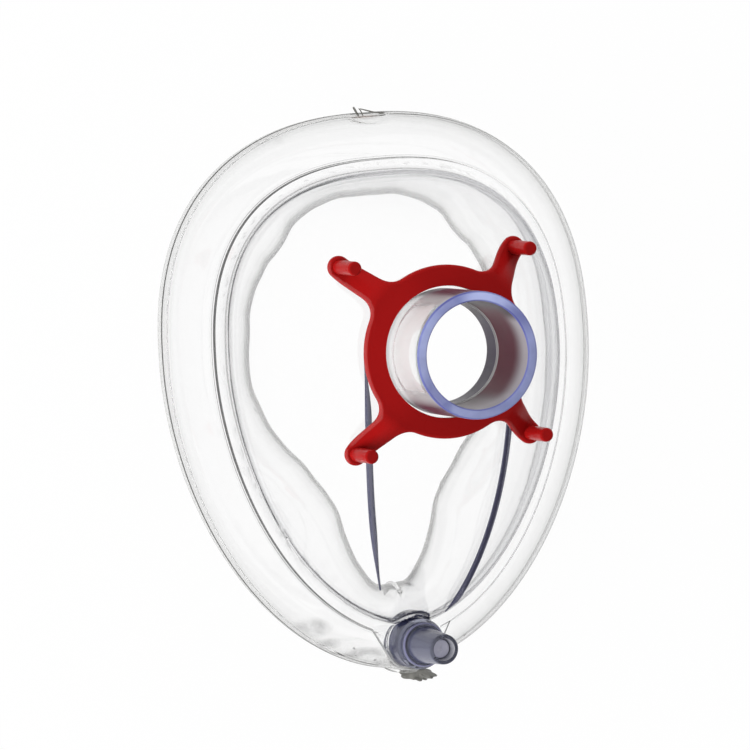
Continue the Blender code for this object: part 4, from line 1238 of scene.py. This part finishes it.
def peg_grid(turn_degrees):
    """A round peg that narrows a little upwards, from within the heel to its rounded top."""
    turn = math.radians(turn_degrees)
    place = (PEG_REACH * math.cos(turn), CONNECTOR_Y + PEG_REACH * math.sin(turn))
    low = RING_BASE + 1.2 - ARM_DIP
    levels = np.linspace(low + 1, PEG_TOP - 0.6, 8)
    profile = [(0, low), (PEG_RADIUS, low)] + [(PEG_RADIUS - PEG_TAPER * (z - low), z) for z in levels]
    tip = PEG_RADIUS - PEG_TAPER * (PEG_TOP - low)
    profile += rounding(tip, PEG_TOP, PEG_ROUNDING)[::-1]
    return turned(profile + [(0.5, PEG_TOP - 0.04), (0, PEG_TOP - 0.06)], place, 48)


def is_lit_edge(centres, normals):
    """The rounding along the plate's upper outer edge, where it looks up and to the left towards the key
    lamp: the faces that get the painted highlight.
    """
    line = ring_loop(40)
    away = np.hypot(centres[:, :1] - line[:, 0], centres[:, 1:2] - CONNECTOR_Y - line[:, 1]).min(1)
    return (away < 0.75) & (normals @ np.array([-0.80, -0.10, 0.59]) > 0.84)


ring = piece("hooked_strap_ring", [(ring_grid(), True, True)], red)
# Painted highlight: the edge faces that look towards the key lamp get the heavily coated copy of the red.
refinished(ring, ring_painted_highlight, is_lit_edge)
pegs = [piece(f"peg_{k}", [(peg_grid(45 + RING_TURN + 90 * k), False, True)], red) for k in range(4)]
combined(ring, "UNION", *pegs)
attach(ring, "strap_ring")
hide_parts("hook_ring")

# %% [markdown]
# ## The inflation valve
# The valve is a stack of turned parts on one axis: a cup in the cushion's port, a cap with a collar
# and a tapered nozzle, and a pale plunger inside, on a spring. Each is a profile with its corners
# rounded, turned about the axis. The nozzle's bore is paler than its outside, by painted light, and a
# line round the collar is a painted highlight. The plunger is slim where it passes the seal, and fills
# the nozzle above it.

# %% Valve
BODY_FOOT, BODY_FLOOR, BODY_TOP, COLLAR_BASE, COLLAR_TOP, NOZZLE_MOUTH = 15.5, 16.9, 23.7, 24.0, 25.9, 37.2
CHAMBER_RADIUS, SPIGOT_RADIUS, SPIGOT_FOOT = 4.1, 3.8, 22.1
COLLAR_RADIUS, NOZZLE_ROOT, NOZZLE_TIP, LUER_MOUTH, LUER_ROOT = 4.7, 3.8, 3.15, 2.3, 1.85
STEM_RADIUS, STEM_TOP, HEAD_RADIUS, DISC_RADIUS, DISC_LOW, DISC_TOP = 1.4, 35.2, 1.92, 3.0, 20.2, 20.9
WIDENING_STEM = ((STEM_RADIUS, 23.2), (1.66, 25.5), (1.78, 30.0), (HEAD_RADIUS, STEM_TOP - 0.6))
AIR_HOLE, BODY_ROUNDING, BODY_RIM = 1.6, 0.4, 0.2
COLLAR_ROUNDING, NOZZLE_ROUNDING, LUER_ROUNDING = 0.35, 0.25, 0.15


def body_profile():
    foot = corner(VALVE_RADIUS - BODY_ROUNDING, BODY_FOOT + BODY_ROUNDING, BODY_ROUNDING, -90, 0)
    profile = [(AIR_HOLE, BODY_FOOT)] + foot
    profile += [(VALVE_RADIUS, z) for z in np.linspace(BODY_FOOT + 1, BODY_TOP - 0.6, 6)]
    profile += rounding(VALVE_RADIUS, BODY_TOP, BODY_RIM)[::-1]
    profile += rounding(CHAMBER_RADIUS, BODY_TOP, BODY_RIM, inner=True)[::-1]
    profile += [(CHAMBER_RADIUS, BODY_FLOOR + 0.4), (CHAMBER_RADIUS - 0.4, BODY_FLOOR)]
    return profile + [(AIR_HOLE, BODY_FLOOR)]


def nozzle_profile():
    profile = [(LUER_ROOT, SPIGOT_FOOT), (SPIGOT_RADIUS - 0.2, SPIGOT_FOOT)]
    profile += [(SPIGOT_RADIUS, SPIGOT_FOOT + 0.2), (SPIGOT_RADIUS, COLLAR_BASE)]
    profile += [(COLLAR_RADIUS - 0.2, COLLAR_BASE), (COLLAR_RADIUS, COLLAR_BASE + 0.2)]
    profile += rounding(COLLAR_RADIUS, COLLAR_TOP, COLLAR_ROUNDING)[::-1]
    profile += corner(NOZZLE_ROOT + 0.4, COLLAR_TOP + 0.4, 0.4, 270, 180)
    share = np.linspace(0.1, 0.95, 8)
    radius = NOZZLE_ROOT + (NOZZLE_TIP - NOZZLE_ROOT) * share
    profile += list(zip(radius, COLLAR_TOP + (NOZZLE_MOUTH - COLLAR_TOP) * share))
    profile += rounding(NOZZLE_TIP, NOZZLE_MOUTH, NOZZLE_ROUNDING)[::-1]
    profile += rounding(LUER_MOUTH, NOZZLE_MOUTH, LUER_ROUNDING, inner=True)[::-1]
    return profile + [(LUER_ROOT, COLLAR_TOP), (LUER_ROOT, SPIGOT_FOOT + 0.5)]


def plunger_profile():
    profile = [(0, DISC_LOW), (DISC_RADIUS - 0.15, DISC_LOW), (DISC_RADIUS, DISC_LOW + 0.15)]
    profile += [(DISC_RADIUS, DISC_TOP - 0.15), (DISC_RADIUS - 0.15, DISC_TOP)]
    profile += [(STEM_RADIUS + 0.2, DISC_TOP), (STEM_RADIUS, DISC_TOP + 0.2), *WIDENING_STEM]
    profile += rounding(HEAD_RADIUS, STEM_TOP, 0.3)[::-1]
    return profile + [(0.5, STEM_TOP), (0.4, STEM_TOP - 0.1), (0, STEM_TOP - 0.1)]


body = piece("valve_cup", [(turned(body_profile(), VALVE), True, True)], valve_plastic)
nozzle = piece("valve_nozzle_cap", [(turned(nozzle_profile(), VALVE), True, True)], valve_plastic)
plunger = piece("plunger_stem", [(turned(plunger_profile(), VALVE, 64), False, True)], plunger_pale)


def is_luer_bore(centres, normals):
    return from_valve(centres) < LUER_MOUTH + 0.05


def is_collar_highlight_line(centres, normals):
    return (from_valve(centres) > COLLAR_RADIUS - 0.4) & (centres[:, 2] > COLLAR_TOP - 0.4)


refinished(nozzle, luer_bore_painted_light, is_luer_bore)
refinished(nozzle, collar_painted_highlight, is_collar_highlight_line)
for part, node, body_name, slot_name in (
    (body, "valve_body", "mask", "tinted_polycarbonate"),
    (nozzle, "valve_nozzle", "mask", "tinted_polycarbonate"),
    (plunger, "valve_plunger", "plunger", "plunger_plastic"),
):
    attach(part, body_name)
    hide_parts(node)
for node, finish in (("valve_seal", rubber), ("valve_spring", wire_steel)):
    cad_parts[node].data.materials.clear()
    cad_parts[node].data.materials.append(finish)
print("valve pieces:", body.name, nozzle.name, plunger.name)

# %% [markdown]
# ## Floor, world and lamps
# The floor is white. Light Path tells its material which ray looks at it: the camera, and rays that
# passed through the plastic or bounced off it, see mostly plain white, and a small share of lit floor,
# which keeps a trace of the mask's shadow. The world lights the mask like a white tent, brighter at
# its sides than overhead, and the same rays see it plain white. The lamps are large, soft and low, and
# the stronger one stands at the left. Neither shows in the plastic.

# %% Floor, world and lamps


def white_floor():
    f = Finish(bpy.data.materials.new("white_floor"))
    lit = f.node("BsdfDiffuse", {"Color": grey(0.94)})
    plain = f.node("Emission", {"Color": grey(1.0), "Strength": 1.0})
    return f.close(f.mixed_shader(0.97 * f.looking_ray(), lit, plain))


FLOOR_HALF_SIZE, FLOOR_DROP = 1500.0, 0.05
sheet = np.array([[[-1, -1, 0], [1, -1, 0]], [[-1, 1, 0], [1, 1, 0]]], float) * FLOOR_HALF_SIZE
floor = piece("studio_floor", [(sheet - (0, 0, FLOOR_DROP), False, False)], white_floor())

world = Finish(bpy.data.worlds.new("studio_world"), "OutputWorld")
direction = world.node("TexCoord", {}, output="Generated")
rise = world.node("SeparateXYZ", {0: direction}, output="Z")
brightness = [(0.0, (1.0, 1.0, 1.0)), (0.35, (0.8, 0.8, 0.8)), (0.9, (0.28, 0.28, 0.28))]
tent = world.node("ValToRGB", {0: rise}, stops=brightness)
around = world.node("Background", {"Color": tent, "Strength": 1.0})
plain = world.node("Background", {"Color": grey(1.0), "Strength": 1.0})
scene.world = world.close(world.mixed_shader(world.looking_ray(), around, plain))


def soft_lamp(name, heading, distance, watts):
    """A square lamp that looks at the mask from a heading in the part's frame, at so many metres."""
    light = bpy.data.lights.new(name, "AREA")
    light.size, light.energy = 0.7, watts
    lamp = bpy.data.objects.new(name, light)
    heading = Vector(heading).normalized()
    lamp.location = Vector((0, 0, 0.03)) + heading * distance
    lamp.rotation_euler = heading.to_track_quat("Z", "Y").to_euler()
    lamp.visible_glossy = lamp.visible_transmission = False
    scene.collection.objects.link(lamp)


soft_lamp("key_from_left", (-1, -0.30, 0.30), 1.0, 12.0)
soft_lamp("side_from_chin", (0.25, 1, 0.30), 1.1, 6.0)
